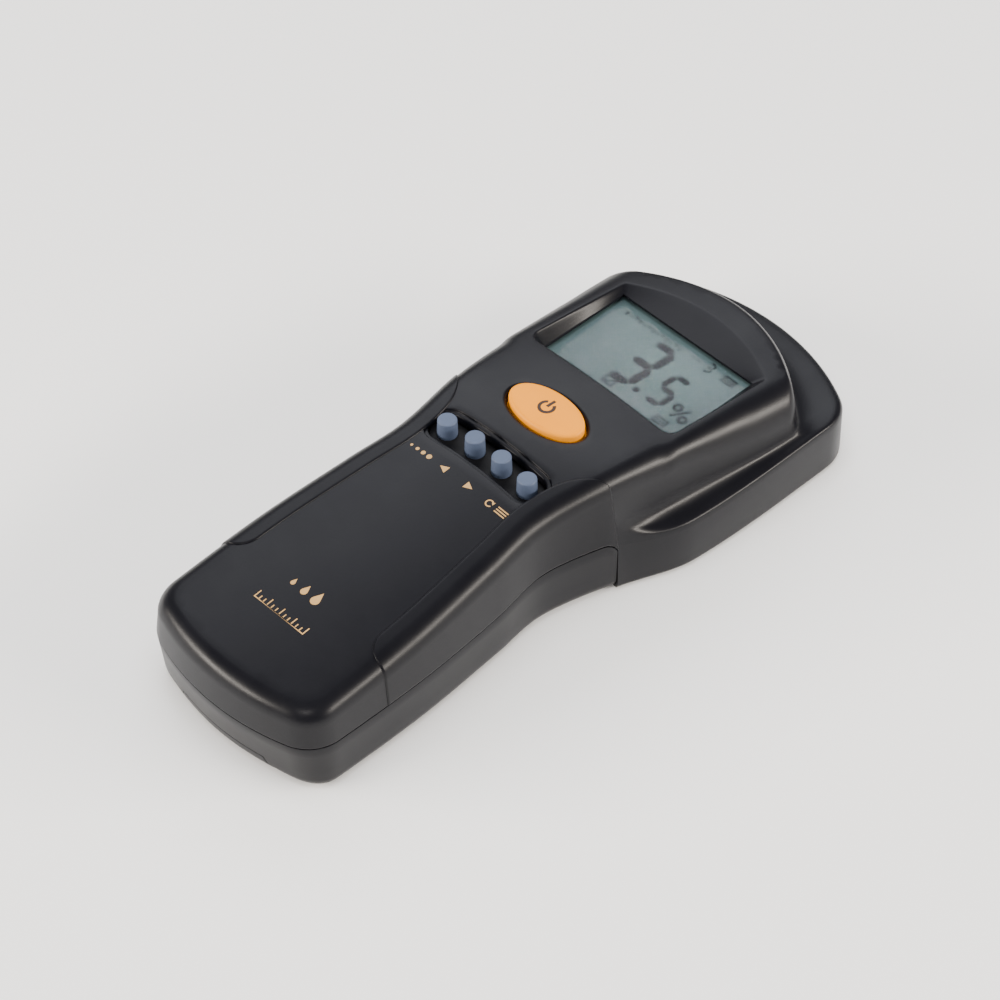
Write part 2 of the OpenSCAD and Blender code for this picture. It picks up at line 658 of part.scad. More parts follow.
module bottom_shell() {
    color(case_c)
        difference() {
            union() {
                base_tub();
                both_sides() {
                    translate([bay_h, battery_y0, 0.4])
                        cube([bay_wall, bay_y1 + 1.4 - battery_y0, bay_top - 0.4]);
                    translate(head_boss)
                        post(boss_d + 1.6, 0, recess_z + 0.8);
                    translate(handle_boss)
                        post(boss_d, 0, handle_recess_z + 0.8);
                }
                slab(2 * bay_h + bay_wall, bay_y1, bay_y1 + 1.4, 0.4, bay_top - 4);
            }
            cover_space(slide_gap, foot_r + 6);
            both_sides() {
                translate(head_boss) {
                    post(screw_d + 0.4, -1, recess_z + 2);
                    post(screw_head_d + 0.4, -1, recess_z - 1);
                }
                translate(handle_boss) {
                    post(screw_d + 0.4, -1, handle_recess_z + 2);
                    post(screw_head_d + 0.4, -1, handle_recess_z - 1);
                }
            }
        }
}

module battery_cover() {
    color(case_c)
        difference() {
            intersection() {
                base_block();
                cover_space(0);
            }
            slab(handle_w, y_end - 6, cover_y1 + 1, -1, 0.1);
            for (k = [0 : 5])
                slab(12, y_end + 9 + 1.6 * k, y_end + 9.8 + 1.6 * k, -1, 0.5);
        }
}

// ---------------------------------------------------------------- display

module display_window() {
    color("#cfd8d8", 0.4)
        translate([0, view_yc, 0])
            slab(window_w, -window_l / 2, window_l / 2, window_z0 + place_gap, window_z1);
}

module lcd_panel() {
    color("#8b9b9a")
        translate([0, view_yc, 0])
            slab(lcd_w, -lcd_l / 2, lcd_l / 2, lcd_z0, lcd_z1);
}

module lcd_reflector() {
    color("#c9cfcd")
        translate([0, view_yc, 0])
            slab(lcd_w - 2, -lcd_l / 2 + 2.6, lcd_l / 2 - 2.6, lcd_z0 - reflector_t, lcd_z0);
}

module lcd_frame() {
    color("#d9d9d4")
        translate([0, view_yc, 0])
            difference() {
                slab(lcd_w + 3.2, -lcd_l / 2 - 1.6, lcd_l / 2 + 1.6, board_z1, lcd_z1 - 0.2);
                slab(lcd_w + 2 * place_gap, -lcd_l / 2 - place_gap, lcd_l / 2 + place_gap,
                     board_z1 - 1, crest_z);
            }
}

module zebra_strips() {
    color("#e2a6a0")
        translate([0, view_yc, 0])
            for (s = [-1, 1])
                translate([0, s * (lcd_l / 2 - 1.3), 0])
                    slab(lcd_w - 3, -1, 1, board_z1, lcd_z0);
}

// ---------------------------------------------------------------- buttons

module power_button() {
    color(amber_c)
        translate([0, y_power, 0])
            union() {
                intersection() {
                    translate([0, 0, power_flange_z1 - 1])
                        linear_extrude(power_top - power_flange_z1 + 1)
                            polygon(oval(power_w, power_l));
                    translate([0, 0, power_top - 90])
                        sphere(r = 90, $fn = 180);
                }
                translate([0, 0, power_flange_z1 - flange_t - 0.3])
                    linear_extrude(flange_t + 0.3)
                        polygon(oval(power_w + 2.4, power_l + 2.2));
                post(4, plunger_top, power_flange_z1 - flange_t);
            }
}

module power_plunger() {
    color("#2b2b2b")
        translate([0, y_power, 0])
            post(plunger_d, plunger_z0, plunger_top);
}

module key(k) {
    top = top_z(key_x[k], key_y(k)) + key_proud;
    color(key_c)
        translate([key_x[k], key_y(k), 0])
            rotate_extrude()
                polygon([[0, plunger_top], [key_flange_d / 2, plunger_top],
                         [key_flange_d / 2, plunger_top + flange_t], [key_d / 2, plunger_top + flange_t],
                         [key_d / 2, top - key_edge], [key_d / 2 - key_edge, top], [0, top]]);
}

module plunger(k) {
    color("#2b2b2b")
        translate([key_x[k], key_y(k), 0])
            post(plunger_d, plunger_z0, plunger_top);
}

module density_key() {
    key(0);
}

module left_key() {
    key(1);
}

module right_key() {
    key(2);
}

module mode_key() {
    key(3);
}

module density_plunger() {
    plunger(0);
}

module left_plunger() {
    plunger(1);
}

module right_plunger() {
    plunger(2);
}

module mode_plunger() {
    plunger(3);
}

// Plate under the key slot with a deck that stands up in the slot, and a bore for each key
module key_guide() {
    color("#17181a")
        difference() {
            translate([0, 0, guide_z0])
                union() {
                    linear_extrude(guide_top - guide_z0)
                        slot_shape(slot_w + 2 * guide_rim);
                    linear_extrude(guide_deck_z - guide_z0)
                        slot_shape(slot_w - 2 * slide_gap);
                }
            for (k = [0 : 3])
                translate([key_x[k], key_y(k), 0])
                    post(key_d + 2 * run_fit, guide_z0 - 1, crest_z);
        }
}

// ---------------------------------------------------------------- circuit board

module main_board() {
    color(board_c)
        difference() {
            union() {
                slab(2 * board_h0, board_y0, board_step_y, board_z0, board_z1);
                slab(2 * board_h1, board_step_y - 1, board_y1, board_z0, board_z1);
            }
            both_sides()
                for (p = board_holes)
                    translate(p)
                        post(2.3, board_z0 - 1, board_z1 + 1);
        }
}

module switch_body() {
    difference() {
        translate([-switch_w / 2, -switch_w / 2, board_z1])
            cube([switch_w, switch_w, switch_h]);
        post(plunger_d + 2 * run_fit, board_z1 + switch_floor, board_z1 + switch_h + 1);
    }
}

module switch_bodies() {
    color("#3a3a3c") {
        translate([0, y_power, 0])
            switch_body();
        for (k = [0 : 3])
            translate([key_x[k], key_y(k), 0])
                switch_body();
    }
}

module microcontroller() {
    color("#1b1b1d")
        translate([0, y_neck + 26, 0])
            slab(12, -6, 6, board_z0 - 1.6, board_z0);
}

module support_chips() {
    color("#1b1b1d")
        both_sides()
            translate([9, y_neck - 6, 0])
                slab(4, -2.5, 2.5, board_z0 - 1.5, board_z0);
}

module crystal() {
    color("#c4c6c8")
        translate([11, y_neck + 26, 0])
            slab(4.6, -5.4, 5.4, board_z0 - 3.4, board_z0);
}

module capacitors() {
    color("#2a3350")
        both_sides()
            translate([13, y_neck + 10, 0])
                post(5, board_z0 - 6, board_z0);
}

module buzzer() {
    color("#151516")
        translate([0, y_neck + 10, 0])
            difference() {
                post(12, board_z0 - 5.5, board_z0);
                post(2, board_z0 - 6, board_z0 - 3);
            }
}

// ---------------------------------------------------------------- sensor

module sensor_plate() {
    color("#b87333")
        slab(sensor_w, sensor_yc - sensor_l / 2, sensor_yc + sensor_l / 2, floor_t, floor_t + sensor_t);
}

module sensor_insulator() {
    color("#d8d2c0")
        slab(sensor_w, sensor_yc - sensor_l / 2, sensor_yc + sensor_l / 2 - 8,
             floor_t + sensor_t, floor_t + sensor_t + insulator_t);
}

module sensor_lead() {
    color("#e8e8e8")
        tube(bow([6, sensor_yc + sensor_l / 2 - 4, floor_t + sensor_t + lead_d / 2],
                 [14, view_y1 - 4, board_z0 - lead_d / 2], 0.6), lead_d);
}

// ---------------------------------------------------------------- battery

module battery() {
    color("#8d8f92")
        union() {
            slab(battery_w, battery_y0, battery_y1, battery_z0, battery_z0 + battery_t);
            for (s = [-1, 1])
                translate([s * terminal_x, battery_y1, battery_zc])
                    rotate([-90, 0, 0])
                        cylinder(d = s > 0 ? 5.6 : 7.6, h = terminal_h);
        }
}

module battery_snap() {
    color("#1a1a1b")
        difference() {
            translate([-battery_w / 2 + 0.6, battery_y1 + place_gap, battery_zc - 6])
                cube([battery_w - 1.2, snap_t, 12]);
            for (s = [-1, 1])
                translate([s * terminal_x, battery_y1 - 1, battery_zc])
                    rotate([-90, 0, 0])
                        cylinder(d = (s > 0 ? 5.6 : 7.6) + 2 * run_fit, h = terminal_h + 1.2);
        }
}

lead_y0 = battery_y1 + place_gap + snap_t + 0.4;

module battery_lead_red() {
    color("#b3241c")
        tube(bow([-5, lead_y0, battery_zc + 3], [-6, board_y0 + 3, board_z0 - lead_d / 2], 0), lead_d);
}

module battery_lead_black() {
    color("#161616")
        tube(bow([5, lead_y0, battery_zc + 3], [6, board_y0 + 3, board_z0 - lead_d / 2], 0), lead_d);
}

module battery_foam() {
    color("#3c3c3e")
        slab(battery_w - 8, battery_y0 + 10, battery_y1 - 10, battery_z0 + battery_t,
             skin_z(battery_w / 2 - 4, battery_y0 + 10) - place_gap);
}

// ---------------------------------------------------------------- screws

module screw(d, head_d, head_t, z0, z1) {
    difference() {
        union() {
            post(head_d, z0, z0 + head_t);
            post(d, z0, z1);
        }
        for (a = [0, 90])
            rotate(a)
                slab(head_d * 0.62, -0.3, 0.3, z0 - 1, z0 + 0.8);
    }
}

module case_screws() {
    color("#8e9093")
        both_sides() {
            translate(head_boss)
                screw(screw_d, screw_head_d, screw_head_t, recess_z - 1 - screw_head_t, ledge_z);
            translate(handle_boss)
                screw(screw_d, screw_head_d, screw_head_t,
                      handle_recess_z - 1 - screw_head_t, handle_recess_z + 11);
        }
}

module board_screws() {
    color("#8e9093")
        both_sides()
            for (p = board_holes)
                translate(p)
                    screw(2, 3.8, 1.3, board_z0 - 1.3, board_z1 + 4.4);
}

top_shell();
bottom_shell();
battery_cover();
side_grip_left();
side_grip_right();
display_window();
lcd_panel();
lcd_reflector();
lcd_frame();
zebra_strips();
power_button();
density_key();
left_key();
right_key();
mode_key();
key_guide();
main_board();
switch_bodies();
power_plunger();
density_plunger();
left_plunger();
right_plunger();
mode_plunger();
microcontroller();
support_chips();
crystal();
capacitors();
buzzer();
sensor_plate();
sensor_insulator();
sensor_lead();
battery();
battery_snap();
battery_lead_red();
battery_lead_black();
battery_foam();
case_screws();
board_screws();
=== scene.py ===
# Pinless moisture meter: smooth casing, soft grips, display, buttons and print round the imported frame.
import bpy
import bmesh
import math
import numpy as np
from mathutils import Matrix, Vector
from mathutils.geometry import delaunay_2d_cdt


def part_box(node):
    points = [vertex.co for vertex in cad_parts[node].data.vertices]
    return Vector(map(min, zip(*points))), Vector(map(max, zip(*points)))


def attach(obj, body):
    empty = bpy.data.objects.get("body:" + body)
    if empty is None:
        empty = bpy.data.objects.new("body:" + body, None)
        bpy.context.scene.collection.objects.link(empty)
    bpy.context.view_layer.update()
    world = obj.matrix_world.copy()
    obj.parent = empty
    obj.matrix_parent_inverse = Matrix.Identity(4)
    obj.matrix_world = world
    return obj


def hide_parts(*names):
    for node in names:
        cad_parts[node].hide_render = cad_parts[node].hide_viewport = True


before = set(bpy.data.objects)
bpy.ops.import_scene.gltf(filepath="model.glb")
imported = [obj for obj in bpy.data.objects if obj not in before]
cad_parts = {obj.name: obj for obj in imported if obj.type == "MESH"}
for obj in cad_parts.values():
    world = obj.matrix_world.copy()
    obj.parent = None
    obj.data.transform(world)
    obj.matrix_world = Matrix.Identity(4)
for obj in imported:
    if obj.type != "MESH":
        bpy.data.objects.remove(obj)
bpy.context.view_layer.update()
mm = 0.001

# Sizes in millimetres, the same as the casing's own drawing
casing = {
    "bodyL": 162.0, "headL": 73.0, "headW": 63.6, "handleW": 50.8, "waistW": 43.6,
    "browW": 57.4, "browSetback": 11.3, "crestZ": 32.0, "handleEndZ": 22.8, "headFrontZ": 24.0,
    "seamZ": 13.2, "ledgeZ": 13.2, "crown": 1.3, "wallT": 2.4, "floorT": 2.2, "edgeR": 3.8,
    "sideR": 6.5, "browR": 2.0, "footR": 3.0, "seamGap": 0.2, "seamRise": 1.4, "footLean": 2.3,
    "neckLean": 2.3, "skirtR": 1.6,
}
yEnd = -casing["bodyL"] / 2
yFront = casing["bodyL"] / 2
yNeck = yFront - casing["headL"]
yCrest = yNeck - 1.2
yWaist = yNeck - 17.5
yBrow = yFront - casing["browSetback"]
yGrip = yEnd + 25
yKeys = yNeck - 12.6
yPower = yNeck + 4
viewY0 = yNeck + 20.4
viewY1 = viewY0 + 25.4


# Small helpers for blending and for curves through knots
def mix(a, b, t):
    return a + (b - a) * t


def unit(t):
    return max(0.0, min(1.0, t))


def ease(t):
    t = unit(t)
    return t * t * (3 - 2 * t)


def knotSlope(knots, i):
    if i == 0 or i == len(knots) - 1:
        return 0.0
    return (knots[i + 1][1] - knots[i - 1][1]) / (knots[i + 1][0] - knots[i - 1][0])


def curve(knots, s):
    i = 0
    while i < len(knots) - 2 and s >= knots[i + 1][0]:
        i += 1
    h = knots[i + 1][0] - knots[i][0]
    t = unit((s - knots[i][0]) / h)
    return (knots[i][1] * (2 * t ** 3 - 3 * t * t + 1) + h * knotSlope(knots, i) * (t ** 3 - 2 * t * t + t)
            + knots[i + 1][1] * (3 * t * t - 2 * t ** 3) + h * knotSlope(knots, i + 1) * (t ** 3 - t * t))


# Height of the casing's top: two slopes that meet softly at the crest, crowned across
def topZ(x, y):
    slopeA = (casing["crestZ"] - casing["handleEndZ"]) / (yCrest - yEnd)
    slopeB = (casing["crestZ"] - casing["headFrontZ"]) / (yFront - yCrest)
    u = y - yCrest
    return (casing["crestZ"] - (slopeA + slopeB) / 2 * math.sqrt(u * u + 64)
            - (slopeB - slopeA) / 2 * u - casing["crown"] * (x / 24) ** 2)


# Height of the parting line on the handle; it dips where it meets the neck
def seamAt(y):
    s = unit((y - (yNeck - 4)) / 4)
    return casing["seamZ"] + casing["seamRise"] * ease((y - yWaist + 20) / 22) - 4 * (1 - math.sqrt(1 - s * s))


# sRGB hex to linear colour
def linear(hexText):
    out = []
    for i in (0, 2, 4):
        v = int(hexText.lstrip("#")[i:i + 2], 16) / 255
        out.append(v / 12.92 if v <= 0.04045 else ((v + 0.055) / 1.055) ** 2.4)
    return (out[0], out[1], out[2], 1.0)


def addNode(tree, kind, settings=None, links=None):
    made = tree.nodes.new(kind)
    for key, value in (settings or {}).items():
        if key in made.inputs.keys():
            made.inputs[key].default_value = value
        else:
            setattr(made, key, value)
    for key, socket in (links or {}).items():
        tree.links.new(socket, made.inputs[key])
    return made


def newMaterial(name):
    mat = bpy.data.materials.new(name)
    mat.use_nodes = True
    tree = mat.node_tree
    tree.nodes.clear()
    shader = addNode(tree, "ShaderNodeBsdfPrincipled")
    addNode(tree, "ShaderNodeOutputMaterial", links={"Surface": shader.outputs["BSDF"]})
    place = addNode(tree, "ShaderNodeTexCoord").outputs["Object"]
    return mat, tree, shader, place


def ramp(tree, fac, stops):
    made = addNode(tree, "ShaderNodeValToRGB", links={"Fac": fac})
    elements = made.color_ramp.elements
    while len(elements) < len(stops):
        elements.new(0.5)
    for element, (pos, color) in zip(elements, stops):
        element.position = pos
        element.color = color if isinstance(color, tuple) else (color, color, color, 1)
    return made.outputs["Color"]


# Moulded plastic or rubber: mottled colour, grain bump at a real spacing, uneven roughness
def moulded(name, light, dark, rough, roughSpread, grainMm, bump, specular=0.5, coat=0.0):
    mat, tree, shader, place = newMaterial(name)
    cloud = addNode(tree, "ShaderNodeTexNoise", {"Scale": 1000 / 18, "Detail": 4.0, "Roughness": 0.6},
                    {"Vector": place})
    color = ramp(tree, cloud.outputs["Fac"], [(0.3, linear(dark)), (0.7, linear(light))])
    tree.links.new(color, shader.inputs["Base Color"])
    handling = addNode(tree, "ShaderNodeTexNoise", {"Scale": 1000 / 9, "Detail": 6.0, "Roughness": 0.65},
                       {"Vector": place})
    roughness = ramp(tree, handling.outputs["Fac"], [(0.3, rough - roughSpread), (0.72, rough + roughSpread)])
    tree.links.new(roughness, shader.inputs["Roughness"])
    grain = addNode(tree, "ShaderNodeTexNoise", {"Scale": 1000 / grainMm, "Detail": 2.0, "Roughness": 0.5},
                    {"Vector": place})
    bumpNode = addNode(tree, "ShaderNodeBump", {"Strength": bump, "Distance": 0.00005},
                       {"Height": grain.outputs["Fac"]})
    tree.links.new(bumpNode.outputs["Normal"], shader.inputs["Normal"])
    shader.inputs["Specular IOR Level"].default_value = specular
    shader.inputs["Coat Weight"].default_value = coat
    shader.inputs["Coat Roughness"].default_value = 0.25
    return mat


# Spark-eroded ABS: near black, satin, with a fine grain that breaks up reflections
sparkAbs = moulded("sparkErodedAbs", "#0f0f14", "#0b0b10", 0.34, 0.035, 0.45, 0.2, specular=0.22)
# Soft grip elastomer: a touch duller than the ABS and as dark
gripRubber = moulded("softGripElastomer", "#0e0e13", "#0a0a0f", 0.36, 0.035, 0.5, 0.22, specular=0.21)
# Same ABS inside, where no one polishes the mould
innerAbs = moulded("mouldedAbsInside", "#0e0e10", "#0a0a0c", 0.6, 0.05, 0.8, 0.3, specular=0.3)
# Amber ABS button: clean, even, slightly glossy, so it reads bright
amberAbs = moulded("polishedAmberAbs", "#f99c00", "#f19400", 0.4, 0.03, 0.5, 0.12, specular=0.12)
# Silicone keys: matt blue-grey with a faint dusty look
keySilicone = moulded("mattSiliconeRubber", "#525d74", "#465166", 0.55, 0.04, 0.3, 0.35, specular=0.3)
# Pad print: thin gold-tan ink, a little broken up
padPrint = moulded("padPrintedInk", "#c9a063", "#a98450", 0.5, 0.05, 0.25, 0.2)
# The same process in dark brown, for the sign on the amber button
darkPrint = moulded("darkPadPrintedInk", "#3a2410", "#2b1a0b", 0.5, 0.05, 0.25, 0.2)
# Lit segments: flat dark grey with no shine of their own, since they lie under glass
segmentInk = moulded("liquidCrystalSegment", "#202226", "#1a1b1f", 0.5, 0.03, 0.4, 0.02, specular=0.05)
# Transfer-moulded epoxy of chips and switches: dull charcoal with a sandy skin
epoxy = moulded("mouldedEpoxy", "#1f1f22", "#18181a", 0.5, 0.05, 0.2, 0.3)
# Extruded PVC on the wires: smooth and a little waxy
wireRed = moulded("redPvcInsulation", "#b3241c", "#9d1d16", 0.4, 0.04, 0.4, 0.1)
wireBlack = moulded("blackPvcInsulation", "#17171a", "#121214", 0.4, 0.04, 0.4, 0.1)
wireWhite = moulded("whitePvcInsulation", "#e4e4e0", "#d8d8d2", 0.4, 0.04, 0.4, 0.1)
# Moulded polycarbonate: an even off-white with a soft sheen
whiteFrame = moulded("whitePolycarbonate", "#d8d8d3", "#cfcfc8", 0.45, 0.04, 0.4, 0.15)
# Cut foam: dark, quite without shine, with open cells
foam = moulded("openCellFoam", "#3f3f42", "#2c2c2e", 0.9, 0.03, 0.6, 0.9)
# Solder mask over woven glass: green lacquer with a thin gloss
solderMask = moulded("solderMaskOnGlassFibre", "#1f6f3d", "#175a30", 0.35, 0.05, 0.5, 0.15, coat=0.3)
# Pressed foam board: cream, dull, faintly fibrous
sheetFoam = moulded("insulatingFoamBoard", "#d8d2c0", "#cdc6b2", 0.8, 0.04, 0.5, 0.5)
# Layered connector silicone: pinkish and matt
zebraRubber = moulded("stripedConnectorSilicone", "#dca39d", "#cf938d", 0.5, 0.04, 0.3, 0.2)


# Metals: colour, brushed or drawn lines through a stretched noise
def metal(name, light, dark, rough, stretch):
    mat, tree, shader, place = newMaterial(name)
    shader.inputs["Metallic"].default_value = 1.0
    stretched = addNode(tree, "ShaderNodeMapping", {"Scale": stretch}, {"Vector": place})
    lines = addNode(tree, "ShaderNodeTexNoise", {"Scale": 1000 / 0.6, "Detail": 4.0, "Roughness": 0.6},
                    {"Vector": stretched.outputs["Vector"]})
    tree.links.new(ramp(tree, lines.outputs["Fac"], [(0.35, linear(dark)), (0.7, linear(light))]),
                   shader.inputs["Base Color"])
    tree.links.new(ramp(tree, lines.outputs["Fac"], [(0.3, rough - 0.06), (0.7, rough + 0.08)]),
                   shader.inputs["Roughness"])
    bumpNode = addNode(tree, "ShaderNodeBump", {"Strength": 0.15, "Distance": 0.00003},
                       {"Height": lines.outputs["Fac"]})
    tree.links.new(bumpNode.outputs["Normal"], shader.inputs["Normal"])
    return mat


# Zinc plating: cloudy pale grey, no direction to its grain
zincSteel = metal("zincPlatedSteel", "#a7a9ac", "#85878a", 0.36, (1, 1, 1))
# Deep-drawn nickel can: brighter, with draw lines
drawnCan = metal("drawnNickelCan", "#cccdce", "#b4b5b6", 0.28, (1, 0.1, 1))
# Rolled copper: warm, with long rolling marks
copperSheet = metal("rolledCopperSheet", "#b9764a", "#a5653b", 0.35, (1, 0.08, 1))
# Brushed film behind the glass: soft silver streaks
mirrorFilm = metal("brushedReflectorFilm", "#c3c8c6", "#aeb4b2", 0.45, (1, 0.1, 1))
# Rolled steel jacket of the block battery: mid grey, satin
batteryJacket = metal("printedSteelJacket", "#8f9194", "#7b7d80", 0.38, (1, 0.06, 1))


# Twisted nematic glass: cloudy grey-green with the electrode pattern, drawn coarser than the
# real one so that it shows
def displayGlass():
    mat, tree, shader, place = newMaterial("twistedNematicGlass")
    cloud = addNode(tree, "ShaderNodeTexNoise", {"Scale": 1000 / 14, "Detail": 3.0}, {"Vector": place})
    tint = ramp(tree, cloud.outputs["Fac"], [(0.3, linear("#4a5c5f")), (0.7, linear("#516365"))])
    grid = addNode(tree, "ShaderNodeTexNoise", {"Scale": 1000 / 0.35, "Detail": 1.0}, {"Vector": place})
    fine = ramp(tree, grid.outputs["Fac"], [(0.35, 0.93), (0.65, 1.0)])
    both = addNode(tree, "ShaderNodeMix", {"data_type": "RGBA", "blend_type": "MULTIPLY"})
    both.inputs[0].default_value = 1.0
    tree.links.new(tint, both.inputs[6])
    tree.links.new(fine, both.inputs[7])
    tree.links.new(both.outputs[2], shader.inputs["Base Color"])
    tree.links.new(ramp(tree, grid.outputs["Fac"], [(0.3, 0.42), (0.7, 0.5)]), shader.inputs["Roughness"])
    shader.inputs["Specular IOR Level"].default_value = 0.05
    return mat


lcdGlass = displayGlass()


# Clear acrylic: no tint to speak of, faint hairlines in its roughness
def clearAcrylic():
    mat, tree, shader, place = newMaterial("clearAcrylicSheet")
    hair = addNode(tree, "ShaderNodeTexNoise", {"Scale": 1000 / 3, "Detail": 5.0}, {"Vector": place})
    tree.links.new(ramp(tree, hair.outputs["Fac"], [(0.4, 0.03), (0.75, 0.1)]), shader.inputs["Roughness"])
    shader.inputs["Base Color"].default_value = linear("#eef3f3")
    shader.inputs["Transmission Weight"].default_value = 1.0
    shader.inputs["IOR"].default_value = 1.49
    shader.inputs["Specular IOR Level"].default_value = 0.04
    shader.inputs["Alpha"].default_value = 0.025
    return mat


acrylic = clearAcrylic()
print("materials made")


def linked(name, data):
    made = bpy.data.objects.new(name, data)
    bpy.context.scene.collection.objects.link(made)
    return made


def shade(data, mat, sharpDeg, levelBase=False):
    for polygon in data.polygons:
        polygon.use_smooth = not levelBase or polygon.normal.z > -0.9995  # a level underside stays flat
    data.set_sharp_from_angle(angle=math.radians(sharpDeg))
    data.materials.clear()
    data.materials.append(mat)


# A mesh from points in millimetres, closed up and facing outwards
def makeMesh(name, verts, faces, mat, sharpDeg=35):
    data = bpy.data.meshes.new(name)
    data.from_pydata([(v[0] * mm, v[1] * mm, v[2] * mm) for v in verts], [], [tuple(f) for f in faces])
    work = bmesh.new()
    work.from_mesh(data)
    bmesh.ops.remove_doubles(work, verts=work.verts, dist=1e-7)
    bmesh.ops.recalc_face_normals(work, faces=work.faces)
    work.to_mesh(data)
    work.free()
    shade(data, mat, sharpDeg)
    return linked(name, data)


# Quads between rings of n points that were added one after the other
def bandFaces(first, rings, n):
    return [(first + r * n + i, first + r * n + (i + 1) % n, first + (r + 1) * n + (i + 1) % n,
             first + (r + 1) * n + i) for r in range(rings - 1) for i in range(n)]


# One end of an outline: a shallow arc of radius ra, then a corner of radius rc at half width h
def endPoints(ra, rc, h, arcSteps=16, cornerSteps=12):
    yc = math.sqrt((ra - rc) ** 2 - (h - rc) ** 2)
    a1 = math.degrees(math.atan2(h - rc, yc))
    out = []
    for k in range(arcSteps):
        a = math.radians(a1 * k / arcSteps)
        out.append((ra * math.sin(a), ra * (1 - math.cos(a))))
    for k in range(cornerSteps + 1):
        a = math.radians(mix(a1, 90, k / cornerSteps))
        out.append((h - rc + rc * math.sin(a), ra - yc - rc * math.cos(a)))
    return out


# Casing outlines, from the handle tip round the right side to the head front
handleH = casing["handleW"] / 2
waistH = casing["waistW"] / 2
headH = casing["headW"] / 2
browH = casing["browW"] / 2
neckH = mix(waistH, headH, 0.4)


def innerKnots(lean, neck, head):
    return [(yEnd + 10, handleH - lean), (yEnd + 35, handleH - 0.4 - lean), (yWaist - 14, waistH + 1.3 - lean),
            (yWaist, waistH - lean), (yNeck, neckH - neck), (yNeck + 17, mix(neckH - neck, head, 0.42)),
            (yBrow - 11, head)]


lowerKnots = [(yEnd + 10, handleH), (yEnd + 35, handleH - 0.4), (yWaist - 14, waistH + 1.3), (yWaist, waistH),
              (yNeck, neckH), (yNeck + 17, headH - 0.5), (yFront - 10, headH)]
upperKnots = innerKnots(0.6, casing["neckLean"], browH)
flatKnots = innerKnots(0.6 + casing["edgeR"], casing["neckLean"] + casing["edgeR"], browH - casing["sideR"])

sideYs = list(np.linspace(yGrip, yNeck - 4, 58))
sideYs += [yNeck - 4 * (1 - math.sin(math.radians(a))) for a in range(9, 64, 9)]
sideYs += [yNeck - 0.4, yNeck - 0.3, yNeck - 0.2, yNeck - 0.1]
leadSteps = 14
headSteps = 44


# Half an outline; every outline has the same number of points, so that they loft
def halfOutline(tip0, tip1, ends, fronts, knots):
    yLow = tip0 + ends[-1][1]
    yHigh = tip1 - fronts[-1][1]
    out = [(p[0], tip0 + p[1]) for p in ends]
    for k in range(1, leadSteps + 1):
        y = mix(yLow, yGrip - 1, k / leadSteps)
        out.append((curve(knots, y), y))
    out += [(curve(knots, y), y) for y in sideYs]
    for k in range(headSteps):
        y = mix(yNeck, yHigh, k / headSteps)
        out.append((curve(knots, y), y))
    out += [(p[0], tip1 - p[1]) for p in reversed(fronts)]
    return np.array(out)


edgeR = casing["edgeR"]
lower = halfOutline(yEnd, yFront, endPoints(60, 9, handleH), endPoints(55, 10.6, headH), lowerKnots)
upper = halfOutline(yEnd + 0.6, yBrow, endPoints(60, 8, handleH - 0.6), endPoints(40, 4.5, browH), upperKnots)
flatTop = halfOutline(yEnd + 0.6 + edgeR, yBrow - casing["browR"],
                      endPoints(60, 9 - edgeR, handleH - 0.6 - edgeR),
                      endPoints(40, 2.5, browH - casing["sideR"]), flatKnots)
for p in flatTop:
    if viewY0 - 6 < p[1] < yBrow - 12:
        p[0] = max(p[0], mix(p[0], 22.0, ease((p[1] - viewY0 + 6) / 4)))
halfN = len(lower) - 1


def outward(path):
    full = np.vstack([[-path[1][0], path[1][1]], path, [-path[-2][0], path[-2][1]]])
    d = full[2:] - full[:-2]
    n = np.stack([d[:, 1], -d[:, 0]], axis=1)
    return n / np.linalg.norm(n, axis=1)[:, None]


lowerDir = outward(lower)
upperDir = outward(upper)
ledgeOpen = [1 - (1 - unit((p[1] - yNeck + 0.2) / 13)) ** 2 for p in lower]
topR = [min(casing["sideR"], float(np.linalg.norm(upper[k] - flatTop[k]))) for k in range(halfN + 1)]
upperRim = [seamAt(p[1]) if p[1] < yNeck - 0.15 else 0.0 for p in lower]


# A whole ring from its right half
def ring(half):
    return list(half) + [(-p[0], p[1], p[2]) for p in half[-2:0:-1]]


# Head wall profile: share of the lean and height above the ledge, smoothed
leanKnots = [(0, 0), (0.14, 0), (0.28, 0.05), (0.42, 0.2), (0.56, 0.62), (0.7, 0.9), (0.85, 0.98), (1, 1)]
riseKnots = [(0.0, -1.9), (0.14, -1.6), (0.28, -0.45), (0.42, 0.1), (0.56, 0.9), (0.7, 2.6), (0.85, 6),
             (1, 10.4)]


def wallPoint(k, t):
    h = ledgeOpen[k]
    zt = topZ(*upper[k]) - topR[k]
    handleShare = unit((t - 0.14) / 0.86)
    seam = max(upperRim[k] + 0.3, casing["seamZ"])
    if t < 0.14:
        low = mix(upperRim[k], seam, t / 0.14)
        high = mix(upperRim[k], casing["ledgeZ"] - 1.6, t / 0.14)
    else:
        low = mix(seam, zt, handleShare)
        rise = curve(riseKnots, t)
        if rise > 0:  # the rise is shared out so that every station ends at its own rim
            rise *= (zt - casing["ledgeZ"]) / riseKnots[-1][1]
        high = max(upperRim[k], casing["ledgeZ"] + rise)
    p = mix(lower[k], upper[k], mix(handleShare, curve(leanKnots, t), h))
    return (p[0], p[1], mix(low, high, h))


# The rounding between the wall and the top, or a copy of it pushed out by d
def filletPoint(k, deg, d=0.0):
    c = math.cos(math.radians(deg))
    s = math.sin(math.radians(deg))
    p = mix(flatTop[k], upper[k], c) + upperDir[k] * d * c
    return (p[0], p[1], topZ(p[0], p[1]) - topR[k] * (1 - s) + d * s)


